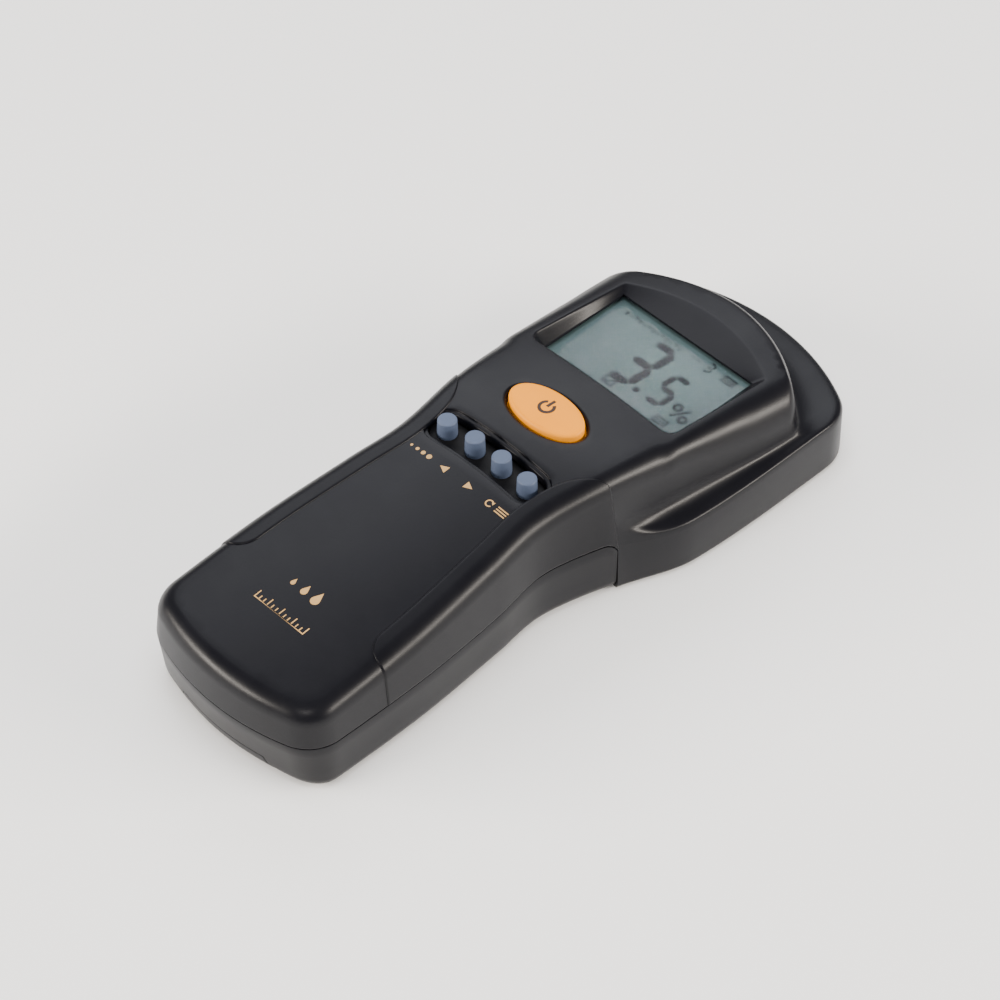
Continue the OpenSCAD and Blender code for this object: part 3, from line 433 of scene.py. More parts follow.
# The inside of the wall, in five steps from the rim up
def innerPoint(k, c):
    h = ledgeOpen[k]
    wall = casing["wallT"]
    zt = topZ(*upper[k]) - topR[k]
    ledge = casing["ledgeZ"] - wall
    zh = [0.0, ledge - 1, ledge, ledge + 1.5, zt][c]
    zl = mix(upperRim[k], zt, [0, 0.3, 0.5, 0.75, 1][c])
    p = mix(lower[k] - wall * lowerDir[k], upper[k] - wall * upperDir[k], mix(c / 4, [0, 0, 0.5, 1, 1][c], h))
    z = mix(zl, max(zh, upperRim[k]), 0 if lower[k][1] < yNeck - 0.01 else (1 if c == 0 else h))
    return (p[0], p[1], z)


# Which points lie inside a loop
def insideMask(points, loop):
    x, y = points[:, 0], points[:, 1]
    inside = np.zeros(len(points), bool)
    for (x0, y0), (x1, y1) in zip(loop, np.roll(loop, -1, axis=0)):
        crosses = (y0 > y) != (y1 > y)
        with np.errstate(divide="ignore", invalid="ignore"):
            xi = (x1 - x0) * (y - y0) / (y1 - y0) + x0
        inside ^= crosses & (x < xi)
    return inside


# Fills a flat area with even triangles: returns extra inner points and triangles, and the
# border points keep their order
def fillBetween(outer, holes, spacing):
    loops = [np.array(outer)[:, :2]] + [np.array(h)[:, :2] for h in holes]
    border = np.vstack(loops)
    edges = []
    start = 0
    for loop in loops:
        n = len(loop)
        edges += [(start + i, start + (i + 1) % n) for i in range(n)]
        start += n
    low, high = border.min(0), border.max(0)
    rows = np.arange(low[1], high[1], spacing * 0.866)
    grid = np.array([(x + (spacing / 2 if i % 2 else 0), y) for i, y in enumerate(rows)
                     for x in np.arange(low[0], high[0], spacing)])
    keep = insideMask(grid, loops[0])
    for loop in loops[1:]:
        keep &= ~insideMask(grid, loop)
    grid = grid[keep]
    near = np.array([np.min(np.hypot(border[:, 0] - g[0], border[:, 1] - g[1])) for g in grid])
    grid = grid[near > spacing * 0.55]
    every = np.vstack([border, grid])
    verts, _, tris, source, _, _ = delaunay_2d_cdt([Vector(p) for p in every.tolist()], edges, [], 0, 1e-6)
    index = [s[0] if s else -1 for s in source]
    assert min(index) >= 0, "outline crosses itself"
    mid = np.array([np.mean([verts[i] for i in t], axis=0) for t in tris])
    good = insideMask(mid, loops[0])
    for loop in loops[1:]:
        good &= ~insideMask(mid, loop)
    return grid, [tuple(index[i] for i in t) for t, g in zip(tris, good) if g]


# Steps of a rounded lip: how far out and how far down
def rounded(r, steps=5):
    angles = [math.radians(90 * i / steps) for i in range(steps + 1)]
    return [(r * (1 - math.sin(a)), r * (1 - math.cos(a))) for a in angles]


def ovalLoop(w, l, n=120):
    return [(w / 2 * math.cos(math.tau * i / n), l / 2 * math.sin(math.tau * i / n)) for i in range(n)]


# Each hole in the top is a list of rings from the outer skin to the inner one
powerButton = {"width": 19.8, "length": 11.0, "gap": 0.4, "proud": 1.5, "lipR": 1.0, "edgeR": 0.8,
               "dome": 0.55, "height": 4.0, "flange": (2.2, 2.0), "flangeT": 1.0, "points": 96}
powerRings = []
for grow, drop in rounded(powerButton["lipR"]) + [(0, 1.2), (0, casing["wallT"])]:
    loop = ovalLoop(powerButton["width"] + 2 * (powerButton["gap"] + grow),
                    powerButton["length"] + 2 * (powerButton["gap"] + grow))
    powerRings.append([(x, y + yPower, topZ(x, y + yPower) - drop) for x, y in loop])

keys = {"pitch": 7.9, "arcR": 160.0, "slotHalfL": 12.15, "slotW": 7.6, "diameter": 4.4, "proud": 1.9,
        "names": ["density_key", "left_key", "right_key", "mode_key"]}
keyX = [(k - 1.5) * keys["pitch"] for k in range(4)]
keyY = [yKeys - keys["arcR"] + math.sqrt(keys["arcR"] ** 2 - x * x) for x in keyX]


# A slot of width w bent round the keys' arc, with round ends
def slotLoop(w):
    half = math.asin(keys["slotHalfL"] / keys["arcR"])
    r = keys["arcR"]
    out = []
    for i in range(37):
        a = mix(half, -half, i / 36)
        out.append(((r + w / 2) * math.sin(a), (r + w / 2) * math.cos(a)))
    for i in range(1, 18):
        a = math.pi * i / 18
        out.append((-r * math.sin(half) - w / 2 * math.sin(a + half),
                    r * math.cos(half) + w / 2 * math.cos(a + half)))
    for i in range(37):
        a = mix(-half, half, i / 36)
        out.append(((r - w / 2) * math.sin(a), (r - w / 2) * math.cos(a)))
    for i in range(1, 18):
        a = math.pi * i / 18
        out.append((r * math.sin(half) + w / 2 * math.sin(a - half),
                    r * math.cos(half) - w / 2 * math.cos(a - half)))
    return [(x, y + yKeys - r) for x, y in out]


slotRim = {"outerStep": 0.95, "stepDrop": 0.55, "lipR": 0.22}
slotRings = []
slotSteps = [(slotRim["outerStep"] + g, d) for g, d in rounded(slotRim["lipR"], 3)]
slotSteps += [(slotRim["outerStep"] - 0.02, slotRim["stepDrop"] - 0.08),
              (slotRim["outerStep"] - 0.1, slotRim["stepDrop"])]
slotSteps += [(g, slotRim["stepDrop"] + d) for g, d in rounded(0.3, 3)]
slotSteps += [(0, 1.5), (0, casing["wallT"])]
for grow, drop in slotSteps:
    slotRings.append([(x, y, topZ(x, y) - drop) for x, y in slotLoop(keys["slotW"] + 2 * grow)])

display = {"nearY": viewY0 - 1.3, "halfW": 20.9, "archEndY": viewY1 + 2.2, "archApexY": 61.9, "cornerR": 2.6,
           "viewHalfW": 19.2, "viewZ": 24.8, "lipR": 0.45, "landZ": 24.1, "rebate": 1.25, "rebateZ": 23.0,
           "wall": 1.7}


# Opening with a straight near edge, rounded near corners, straight sides and an arched far edge
def openingLoop(halfW, nearY, endY, apexY, cornerR):
    out = []
    for i in range(24):
        out.append((mix(-halfW + cornerR, halfW - cornerR, i / 24), nearY))
    for i in range(8):
        a = math.radians(90 * i / 8)
        out.append((halfW - cornerR + cornerR * math.sin(a), nearY + cornerR - cornerR * math.cos(a)))
    for i in range(24):
        out.append((halfW, mix(nearY + cornerR, endY, i / 24)))
    sag = apexY - endY
    arcR = (halfW ** 2 + sag ** 2) / (2 * sag) if sag > 0.01 else 1e6
    for i in range(48):
        x = mix(halfW, -halfW, i / 48)
        out.append((x, apexY - arcR + math.sqrt(arcR ** 2 - x * x)))
    for i in range(24):
        out.append((-halfW, mix(endY, nearY + cornerR, i / 24)))
    for i in range(8):
        a = math.radians(90 * i / 8)
        out.append((-halfW + cornerR - cornerR * math.cos(a), nearY + cornerR - cornerR * math.sin(a)))
    return np.array(out)


edgeLoop = openingLoop(display["halfW"], display["nearY"], display["archEndY"], display["archApexY"],
                       display["cornerR"])
viewLoop = openingLoop(display["viewHalfW"], viewY0, viewY1, viewY1 + 0.001, display["cornerR"] - 0.2)


def growLoop(loop, d):
    nxt, prv = np.roll(loop, -1, axis=0), np.roll(loop, 1, axis=0)
    t = nxt - prv
    n = np.stack([t[:, 1], -t[:, 0]], axis=1)
    return loop + d * n / np.linalg.norm(n, axis=1)[:, None]


def on(loop, drop=0.0):
    return [(x, y, topZ(x, y) - drop) for x, y in loop]


def at(loop, z):
    return [(x, y, z) for x, y in loop]


lipStart = np.array(on(growLoop(edgeLoop, display["lipR"])))
lipMid = np.array(on(edgeLoop))
bottomEdge = np.array(at(viewLoop, display["viewZ"]))
down = bottomEdge - lipMid
lipEnd = lipMid + down * (display["lipR"] / np.linalg.norm(down, axis=1))[:, None]
displayRings = []
for i in range(6):
    t = i / 5
    displayRings.append([tuple(p) for p in (1 - t) ** 2 * lipStart + 2 * t * (1 - t) * lipMid + t * t * lipEnd])
for t in (0.25, 0.5, 0.75, 0.96, 1.0):
    displayRings.append([tuple(p) for p in mix(lipEnd, bottomEdge, t)])
rebateLoop = growLoop(viewLoop, display["rebate"])
outerLoop = growLoop(viewLoop, display["wall"])
displayRings += [at(viewLoop, display["landZ"]), at(rebateLoop, display["landZ"] - 0.02),
                 at(rebateLoop, display["rebateZ"]), at(outerLoop, display["rebateZ"])]
displayRings.append([(x, y, min(topZ(x, y) - casing["wallT"], 25.6)) for x, y in outerLoop])


def buildUpperCasing():
    rings = []
    rimR = [casing["skirtR"] if p[1] > yNeck - 0.15 else 0.22 for p in lower]
    for deg in range(0, 91, 15):
        inset = [r * (1 - math.sin(math.radians(deg))) for r in rimR]
        rise = [r * (1 - math.cos(math.radians(deg))) for r in rimR]
        rings.append(ring([(lower[k][0] - lowerDir[k][0] * inset[k], lower[k][1] - lowerDir[k][1] * inset[k],
                            upperRim[k] + rise[k]) for k in range(halfN + 1)]))
    for t in np.linspace(0.14, 1, 30):
        rings.append(ring([wallPoint(k, t) for k in range(halfN + 1)]))
    for deg in (11, 22, 34, 45, 56, 68, 79, 90):
        rings.append(ring([filletPoint(k, deg) for k in range(halfN + 1)]))
    inner = [ring([innerPoint(k, c) for k in range(halfN + 1)]) for c in range(5)]
    for deg in (45, 80):
        inner.append(ring([filletPoint(k, deg, -min(casing["wallT"], topR[k] - 0.3))
                           for k in range(halfN + 1)]))
    verts, faces = [], []

    def addRings(group):
        first = len(verts)
        n = len(group[0])
        for loop in group:
            verts.extend(loop)
        faces.extend(bandFaces(first, len(group), n))
        return first, first + (len(group) - 1) * n, n

    outerFirst, outerLast, n = addRings(rings)
    innerFirst, innerLast, _ = addRings(inner)
    for i in range(n):
        faces.append((outerFirst + i, outerFirst + (i + 1) % n, innerFirst + (i + 1) % n, innerFirst + i))
    holes = [addRings(group) for group in (displayRings, powerRings, slotRings)]
    for last, which, drop in ((outerLast, 0, 0.0), (innerLast, 1, casing["wallT"])):
        starts = [(last, n)] + [(h[which], h[2]) for h in holes]
        loops = [[verts[s + i] for i in range(m)] for s, m in starts]
        grid, tris = fillBetween(loops[0], loops[1:], 1.7)
        lookup = [s + i for s, m in starts for i in range(m)]
        base = len(verts)
        lookup += [base + i for i in range(len(grid))]
        verts.extend([(g[0], g[1], topZ(g[0], g[1]) - drop) for g in grid])
        faces.extend([tuple(lookup[i] for i in t) for t in tris])
    return makeMesh("upperCasing", verts, faces, sparkAbs, 40)


upperCasing = buildUpperCasing()
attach(upperCasing, "casing")
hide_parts("top_shell")
print("upper casing made", len(upperCasing.data.polygons))


# Side grips: soft skins that stand a little proud, with rolled edges
grip = {"proud": 0.3, "sink": 0.5, "rollR": 0.45, "topInset": 2.6, "cornerLow": 5.0, "cornerNeck": 9.0,
        "neckDrop": 4.4, "gap": 0.18}


# The casing's outline at one station, from the parting line up and over onto the top
def columnAt(y):
    lowX, upX, flatX = curve(lowerKnots, y), curve(upperKnots, y), curve(flatKnots, y)
    r = upX - flatX
    rim = seamAt(y)
    zt = topZ(upX, y) - r
    seam = max(rim + 0.3, casing["seamZ"])
    pts = [(lowX, rim), (lowX, mix(rim, seam, 0.5)), (lowX, seam)]
    pts += [(mix(lowX, upX, s), mix(seam, zt, s)) for s in np.linspace(0.05, 1, 16)]
    for deg in range(6, 91, 6):
        x = mix(flatX, upX, math.cos(math.radians(deg)))
        pts.append((x, topZ(x, y) - r * (1 - math.sin(math.radians(deg)))))
    pts += [(flatX - d, topZ(flatX - d, y)) for d in (0.4, 0.8, 1.3, 1.9, 2.6, 3.4)]
    pts = np.array(pts)
    length = np.concatenate([[0], np.cumsum(np.linalg.norm(np.diff(pts, axis=0), axis=1))])
    topAt = length[len(pts) - 7] + mix(grip["topInset"], 0.3, unit((y - yNeck + 13) / 13) ** 2)
    return pts, length, topAt


def buildGrip(side):
    yLow, yHigh = yGrip - 0.4, yNeck - 0.12
    low, neck = grip["cornerLow"], grip["cornerNeck"]
    ys = [yLow + e for e in (0, 0.06, 0.15, 0.3, 0.5)]
    ys += [yLow + low * (1 - math.cos(math.radians(a))) for a in range(28, 90, 8)]
    ys += list(np.linspace(yLow + low, yHigh - neck, 46))
    ys += [yHigh - neck * (1 - math.sin(math.radians(a))) for a in range(6, 70, 6)]
    ys += [yHigh - e for e in (0.5, 0.3, 0.15, 0.06, 0)]
    shares = [0, 0.004, 0.01, 0.02, 0.035] + list(np.linspace(0.06, 0.94, 30)) + [0.965, 0.98, 0.99, 0.996, 1]
    base = np.zeros((len(ys), len(shares), 3))
    away = np.zeros((len(ys), len(shares)))
    for i, y in enumerate(ys):
        pts, length, top = columnAt(y)
        if y < yLow + low:
            top -= low * (1 - math.sqrt(max(0, 1 - ((yLow + low - y) / low) ** 2)))
        if y > yHigh - neck:
            top -= grip["neckDrop"] * (1 - math.sqrt(max(0, 1 - ((y - yHigh + neck) / neck) ** 2)))
        for j, s in enumerate(shares):
            run = mix(grip["gap"], top, s)
            base[i, j] = (np.interp(run, length, pts[:, 0]), y, np.interp(run, length, pts[:, 1]))
            away[i, j] = min(run - grip["gap"], top - run, y - yLow, yHigh - y)
    du = np.gradient(base, axis=0)
    dv = np.gradient(base, axis=1)
    normal = np.cross(du, dv)
    normal /= np.maximum(np.linalg.norm(normal, axis=2), 1e-9)[:, :, None]
    if normal[20, 10, 0] < 0:
        normal = -normal
    roll = np.clip(away / grip["rollR"], 0, 1)
    lift = grip["proud"] * np.sqrt(1 - (1 - roll) ** 2) - 0.12 * (1 - roll) ** 3
    outer = base + normal * lift[:, :, None]
    inner = base - normal * grip["sink"]
    m, n = base.shape[:2]
    verts = [tuple(p) for p in outer.reshape(-1, 3)] + [tuple(p) for p in inner.reshape(-1, 3)]
    faces = []
    for i in range(m - 1):
        for j in range(n - 1):
            a = i * n + j
            faces.append((a, a + 1, a + n + 1, a + n))
            faces.append((a + m * n, a + n + m * n, a + n + 1 + m * n, a + 1 + m * n))
    border = [i * n for i in range(m)] + [(m - 1) * n + j for j in range(1, n)]
    border += [i * n + n - 1 for i in range(m - 2, -1, -1)] + [j for j in range(n - 2, 0, -1)]
    for a, b in zip(border, border[1:] + border[:1]):
        faces.append((a, b, b + m * n, a + m * n))
    verts = [(v[0] * side, v[1], v[2]) for v in verts]
    name = "gripSkinRight" if side > 0 else "gripSkinLeft"
    return makeMesh(name, verts, faces, gripRubber, 60)


for side, node in ((1, "side_grip_right"), (-1, "side_grip_left")):
    skin = buildGrip(side)
    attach(skin, "casing")
    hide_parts(node)
print("grips made")


# Lower casing and battery cover
battery = {"coverHalfW": 13.85, "coverT": 2.0, "coverY1": -24.5, "bayHalfW": 13.95, "bayWall": 2.0,
           "bayY0": -75.0, "bayY1": -21.5, "bayTop": 16.2, "gap": 0.16, "tabZ": 4.3, "tabSlant": 1.8,
           "edgeR": 0.15, "rimZ": 7.0, "rail": 1.1, "railZ": (1.1, 2.0), "tabLowZ": 0.6}
fitInset = casing["wallT"] + 2 * casing["seamGap"]


def basePoint(k, inset, z):
    onHead = lower[k][1] > yNeck - 0.25
    share = max(0.0, 1 - z / casing["seamZ"])
    lean = 0 if onHead else mix(casing["footLean"], 0.4, ease((lower[k][1] - yEnd) / 10)) * share
    p = lower[k] - lowerDir[k] * ((fitInset if onHead else 0) + inset + lean)
    return (p[0], p[1], z)


def baseRim(k):
    return casing["floorT"] + 1.4 if lower[k][1] > yNeck - 0.25 else seamAt(lower[k][1]) - casing["seamGap"]


def baseR(k):
    return 0.4 if lower[k][1] > yNeck - 0.25 else casing["footR"]


# Rings from the rim down to the flat underside; a level rim serves the cover's cutter
def baseRings(edge, levelRim=None):
    rows = range(halfN + 1)
    rims = [levelRim or baseRim(k) for k in rows]
    rings = [ring([basePoint(k, e, rims[k] - d) for k in rows])
             for e, d in ((edge, 0), (edge * 0.3, edge * 0.3), (0, edge))]
    rings += [ring([basePoint(k, 0, mix(rims[k] - edge, baseR(k), s)) for k in rows])
              for s in (0.25, 0.5, 0.75)]
    for deg in range(0, 91, 9):
        a = math.radians(deg)
        rings.append(ring([basePoint(k, baseR(k) * (1 - math.cos(a)), baseR(k) * (1 - math.sin(a)))
                           for k in rows]))
    return rings


def capFaces(verts, faces, first, n, z):
    loop = [verts[first + i] for i in range(n)]
    grid, tris = fillBetween(loop, [], 6.0)
    base = len(verts)
    verts.extend([(g[0], g[1], z) for g in grid])
    lookup = [first + i for i in range(n)] + [base + i for i in range(len(grid))]
    faces.extend([tuple(lookup[i] for i in t) for t in tris])


# A closed body from one or two stacks of rings; caps say which stack, which end and what height
def ringSolid(name, groups, caps):
    verts, faces = [], []
    n = len(groups[0][0])
    ends = []
    for group in groups:
        first = len(verts)
        for loop in group:
            verts.extend(loop)
        faces.extend(bandFaces(first, len(group), n))
        ends.append((first, first + (len(group) - 1) * n))
    if len(groups) == 2:
        for i in range(n):
            j = (i + 1) % n
            faces.append((ends[0][0] + i, ends[0][0] + j, ends[1][0] + j, ends[1][0] + i))
    for group, which, z in caps:
        capFaces(verts, faces, ends[group][which], n, z)
    return makeMesh(name, verts, faces, sparkAbs)


def prism(name, outline, low, high, axis="z"):
    n = len(outline)
    verts = []
    for d in (low, high):
        for p in outline:
            verts.append((p[0], p[1], d) if axis == "z" else (p[0], d, p[1]))
    faces = [tuple(range(n)), tuple(range(2 * n - 1, n - 1, -1))]
    faces += [(i, (i + 1) % n, n + (i + 1) % n, n + i) for i in range(n)]
    return makeMesh(name, verts, faces, innerAbs)


def block(name, x0, x1, y0, y1, z0, z1):
    return prism(name, [(x0, y0), (x1, y0), (x1, y1), (x0, y1)], z0, z1)


def remove(obj):
    bpy.data.objects.remove(obj, do_unlink=True)


def joined(name, parts):
    work = bmesh.new()
    for part in parts:
        work.from_mesh(part.data)
    data = bpy.data.meshes.new(name)
    work.to_mesh(data)
    work.free()
    for part in parts:
        remove(part)
    return linked(name, data)


def boolean(target, tool, operation="DIFFERENCE"):
    modifier = target.modifiers.new("cut", "BOOLEAN")
    modifier.operation = operation
    modifier.solver = "EXACT"
    modifier.object = tool
    bake(target)
    remove(tool)


def bake(obj):
    graph = bpy.context.evaluated_depsgraph_get()
    data = bpy.data.meshes.new_from_object(obj.evaluated_get(graph))
    old = obj.data
    obj.modifiers.clear()
    obj.data = data
    bpy.data.meshes.remove(old)


# The cover's own shape, or the space for it when g widens it and more lengthens its rails
def coverCutter(name, g, more):
    half = battery["coverHalfW"]
    tongue = half + battery["rail"] + g
    railLow, railHigh = battery["railZ"]
    low, z = battery["tabLowZ"], battery["tabZ"]
    plate = block(name + "Plate", -half - g, half + g, yEnd - 5, battery["coverY1"] + g, -1,
                  battery["coverT"] + g)
    rails = block(name + "Rails", -tongue, tongue, yEnd + 7 - g - more, battery["coverY1"] + g, railLow - g,
                  railHigh + g)
    outline = [(-half - g, -1), (half + g, -1), (half + g, low), (half - battery["tabSlant"] + g, z + g),
               (battery["tabSlant"] - half - g, z + g), (-half - g, low)]
    tab = prism(name + "Tab", outline, yEnd - 6, yEnd + 4 + g, "y")
    for tool in (rails, tab):
        boolean(plate, tool, "UNION")
    return plate


def circleLoop(x, y, r, n=40):
    return [(x + r * math.cos(math.tau * i / n), y + r * math.sin(math.tau * i / n)) for i in range(n)]


screws = {"shank": 2.5, "headD": 4.8, "headT": 1.6, "crownT": 0.7, "length": 11.5, "slot": (0.32, 1.35, 0.9),
          "bossR": 3.6, "fit": 0.2, "places": [(25.1, 55.4, 1.0), (handleH - 6.2, yEnd + 22, 2.6)]}


def buildLowerCasing():
    rows = range(halfN + 1)
    inside = [ring([basePoint(k, casing["floorT"], baseRim(k)) for k in rows]),
              ring([basePoint(k, casing["floorT"], casing["floorT"] + 0.8) for k in rows]),
              ring([basePoint(k, casing["floorT"] + 0.8, casing["floorT"]) for k in rows])]
    tub = ringSolid("lowerCasing", [baseRings(0.22), inside], [(0, 1, 0.0), (1, 1, casing["floorT"])])
    extras = []
    for side in (1, -1):
        x0, x1 = sorted((side * battery["bayHalfW"], side * (battery["bayHalfW"] + battery["bayWall"])))
        extras.append(block("bayWall", x0, x1, battery["bayY0"], battery["bayY1"] + 1.4, 0.4,
                            battery["bayTop"]))
        for x, y, z in screws["places"]:
            extras.append(prism("boss", circleLoop(side * x, y, screws["bossR"]), 0.3, z + 3.4))
    extras.append(block("bayEnd", -battery["bayHalfW"] - 1, battery["bayHalfW"] + 1, battery["bayY1"],
                        battery["bayY1"] + 1.4, 0.4, battery["bayTop"] - 4))
    for extra in extras:
        boolean(tub, extra, "UNION")
    boolean(tub, coverCutter("coverSpace", battery["gap"], 9))
    for side in (1, -1):
        for x, y, z in screws["places"]:
            boolean(tub, prism("headWell", circleLoop(side * x, y, screws["headD"] / 2 + screws["fit"]), -1,
                               z + screws["headT"]))
            boolean(tub, prism("shankHole", circleLoop(side * x, y, screws["shank"] / 2 + screws["fit"]), -1,
                               z + 6))
    shade(tub.data, sparkAbs, 28, levelBase=True)
    return tub


lowerCasing = buildLowerCasing()
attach(lowerCasing, "casing")
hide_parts("bottom_shell")
print("lower casing made", len(lowerCasing.data.polygons))


# A tree that repeats one object along a line, with named inputs
def repeatTree(name, mat):
    tree = bpy.data.node_groups.new(name, "GeometryNodeTree")
    face = tree.interface
    face.new_socket("Geometry", in_out="OUTPUT", socket_type="NodeSocketGeometry")
    for label, kind in (("Item", "NodeSocketObject"), ("Count", "NodeSocketInt"), ("Step", "NodeSocketVector"),
                        ("Start", "NodeSocketVector")):
        face.new_socket(label, in_out="INPUT", socket_type=kind)
    start = addNode(tree, "NodeGroupInput")
    line = addNode(tree, "GeometryNodeMeshLine", links={"Count": start.outputs["Count"],
                   "Start Location": start.outputs["Start"], "Offset": start.outputs["Step"]})
    item = addNode(tree, "GeometryNodeObjectInfo", links={"Object": start.outputs["Item"]})
    place = addNode(tree, "GeometryNodeInstanceOnPoints", links={"Points": line.outputs["Mesh"],
                    "Instance": item.outputs["Geometry"]})
    real = addNode(tree, "GeometryNodeRealizeInstances", links={"Geometry": place.outputs["Instances"]})
    paint = addNode(tree, "GeometryNodeSetMaterial", {"Material": mat}, {"Geometry": real.outputs["Geometry"]})
    addNode(tree, "NodeGroupOutput", links={"Geometry": paint.outputs["Geometry"]})
    return tree


def repeated(name, item, count, step, start, mat):
    holder = linked(name, bpy.data.meshes.new(name))
    modifier = holder.modifiers.new("repeat", "NODES")
    tree = repeatTree(name + "Tree", mat)
    modifier.node_group = tree
    values = {"Item": item, "Count": count, "Step": [v * mm for v in step], "Start": [v * mm for v in start]}
    for socket in tree.interface.items_tree:
        if socket.in_out == "INPUT":
            modifier[socket.identifier] = values[socket.name]
    bake(holder)
    remove(item)
    return holder


ridges = {"count": 6, "pitch": 1.6, "width": 0.8, "length": 12.0, "depth": 0.4, "start": yEnd + 9.4}


def buildCover():
    body = ringSolid("batteryCover", [baseRings(0.2, battery["rimZ"])], [(0, 0, battery["rimZ"]), (0, 1, 0.0)])
    lid = coverCutter("coverShape", 0.0, 0)
    boolean(lid, body, "INTERSECT")
    lid.name = "batteryCoverPlate"
    skim = block("skim", -40, 40, yEnd - 8, battery["coverY1"] + 2, -1, 0.1)
    boolean(lid, skim)
    r = ridges["width"] / 2
    half = [(-ridges["length"] / 2 + r - r * math.cos(a), r * math.sin(a)) for a in np.linspace(-1.4, 1.4, 9)]
    outline = [(x, y) for x, y in half] + [(-x, -y) for x, y in half]
    item = prism("ridgeTool", outline, -1, ridges["depth"] + 0.1)
    tools = repeated("ridgeTools", item, ridges["count"], (0, ridges["pitch"], 0), (0, ridges["start"], 0),
                     innerAbs)
    boolean(lid, tools)
    shade(lid.data, sparkAbs, 28, levelBase=True)
    bevel = lid.modifiers.new("edge", "BEVEL")
    bevel.width = battery["edgeR"] * mm
    bevel.segments = 2
    bevel.limit_method = "ANGLE"
    bevel.angle_limit = math.radians(50)
    bake(lid)
    shade(lid.data, sparkAbs, 28, levelBase=True)
    return lid


coverPlate = buildCover()
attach(coverPlate, "battery_cover")
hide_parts("battery_cover")
print("battery cover made", len(coverPlate.data.polygons))


# A turned body of n sides from a profile of radius and height
def turned(name, profile, n, mat, centre, sharpDeg=50):
    verts = []
    for r, z in profile:
        verts.extend([(x, y, z) for x, y in circleLoop(centre[0], centre[1], r, n)])
    faces = bandFaces(0, len(profile), n)
    last = (len(profile) - 1) * n
    verts.append((centre[0], centre[1], profile[-1][1]))
    verts.append((centre[0], centre[1], profile[0][1]))
    for i in range(n):
        faces.append((last + i, last + (i + 1) % n, len(verts) - 2))
        faces.append((i, (i + 1) % n, len(verts) - 1))
    return makeMesh(name, verts, faces, mat, sharpDeg)


# Height of the power button's crowned face, from its own centre
def domeZ(x, y):
    top = topZ(0, yPower) + powerButton["proud"]
    edge = (x / (powerButton["width"] / 2)) ** 2 + (y / (powerButton["length"] / 2)) ** 2
    return top - powerButton["dome"] * min(edge, 1.0)


def buildPowerButton():
    w, l, n = powerButton["width"], powerButton["length"], powerButton["points"]
    foot = topZ(0, yPower) - powerButton["height"]
    flangeTop = foot + powerButton["flangeT"]
    flangeLoop = ovalLoop(w + powerButton["flange"][0], l + powerButton["flange"][1], n)
    rings = []
    for s in (0.12, 0.25, 0.4, 0.55, 0.7, 0.8, 0.88):
        rings.append([(x, y, domeZ(x, y)) for x, y in ovalLoop(w * s, l * s, n)])
    for g, d in rounded(powerButton["edgeR"], 6):
        rings.append([(x, y, domeZ(x, y) - d) for x, y in ovalLoop(w - 2 * g, l - 2 * g, n)])
    rings += [at(ovalLoop(w, l, n), flangeTop), at(flangeLoop, flangeTop), at(flangeLoop, foot)]
    verts = [(x, y + yPower, z) for loop in rings for x, y, z in loop]
    faces = bandFaces(0, len(rings), n)
    verts.append((0, yPower, domeZ(0, 0)))
    verts.append((0, yPower, foot))
    last = (len(rings) - 1) * n
    for i in range(n):
        faces.append((i, (i + 1) % n, len(verts) - 2))
        faces.append((last + i, last + (i + 1) % n, len(verts) - 1))
    return makeMesh("powerButtonCap", verts, faces, amberAbs, 50)


buttonCap = buildPowerButton()
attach(buttonCap, "power_button")
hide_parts("power_button")

keyEdge = {"r": 0.4, "draft": 0.12, "dish": 0.06, "flangeD": 6.0, "flangeT": 0.7, "seat": 23.9, "straight": 3.5}
for i, node in enumerate(keys["names"]):
    top = topZ(keyX[i], keyY[i]) + keys["proud"]
    r, flangeR, er = keys["diameter"] / 2, keyEdge["flangeD"] / 2, keyEdge["r"]
    flangeTop = keyEdge["seat"] + keyEdge["flangeT"]
    profile = [(flangeR, keyEdge["seat"]), (flangeR, flangeTop), (r, flangeTop), (r, top - keyEdge["straight"])]
    for a in np.radians(range(0, 91, 15)):
        profile.append((r - keyEdge["draft"] - er * (1 - math.cos(a)), top - er * (1 - math.sin(a))))
    profile += [(r * 0.6, top - 0.02), (r * 0.3, top - keyEdge["dish"])]
    cap = turned(node + "Cap", profile, 56, keySilicone, (keyX[i], keyY[i]))
    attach(cap, node)
    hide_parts(node)
print("button and keys made")


# A screw with its head down and a cross recess; pairs at each height are repeated by a tree
def buildScrew(z0):
    r, rs, crown = screws["headD"] / 2, screws["shank"] / 2, screws["crownT"]
    neck = z0 + screws["headT"]
    profile = [(rs, z0 + screws["length"]), (rs, neck), (r, neck), (r, z0 + crown)]
    profile += [(r * math.cos(a), z0 + crown * (1 - math.sin(a))) for a in np.radians([20, 40, 60, 75])]
    item = turned("screwItem", profile, 32, zincSteel, (0, 0), 40)
    narrow, wide, deep = screws["slot"]
    for w, l in ((wide, narrow), (narrow, wide)):
        boolean(item, block("slotTool", -w, w, -l, l, z0 - 1, z0 + deep))
    return item


screwSets = []
for x, y, z in screws["places"]:
    screwSets.append(repeated("screwPair", buildScrew(z), 2, (2 * x, 0, 0), (-x, y, 0), zincSteel))
caseScrews = joined("caseScrewSet", screwSets)
shade(caseScrews.data, zincSteel, 35)
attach(caseScrews, "casing")
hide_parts("case_screws")
print("screws made")


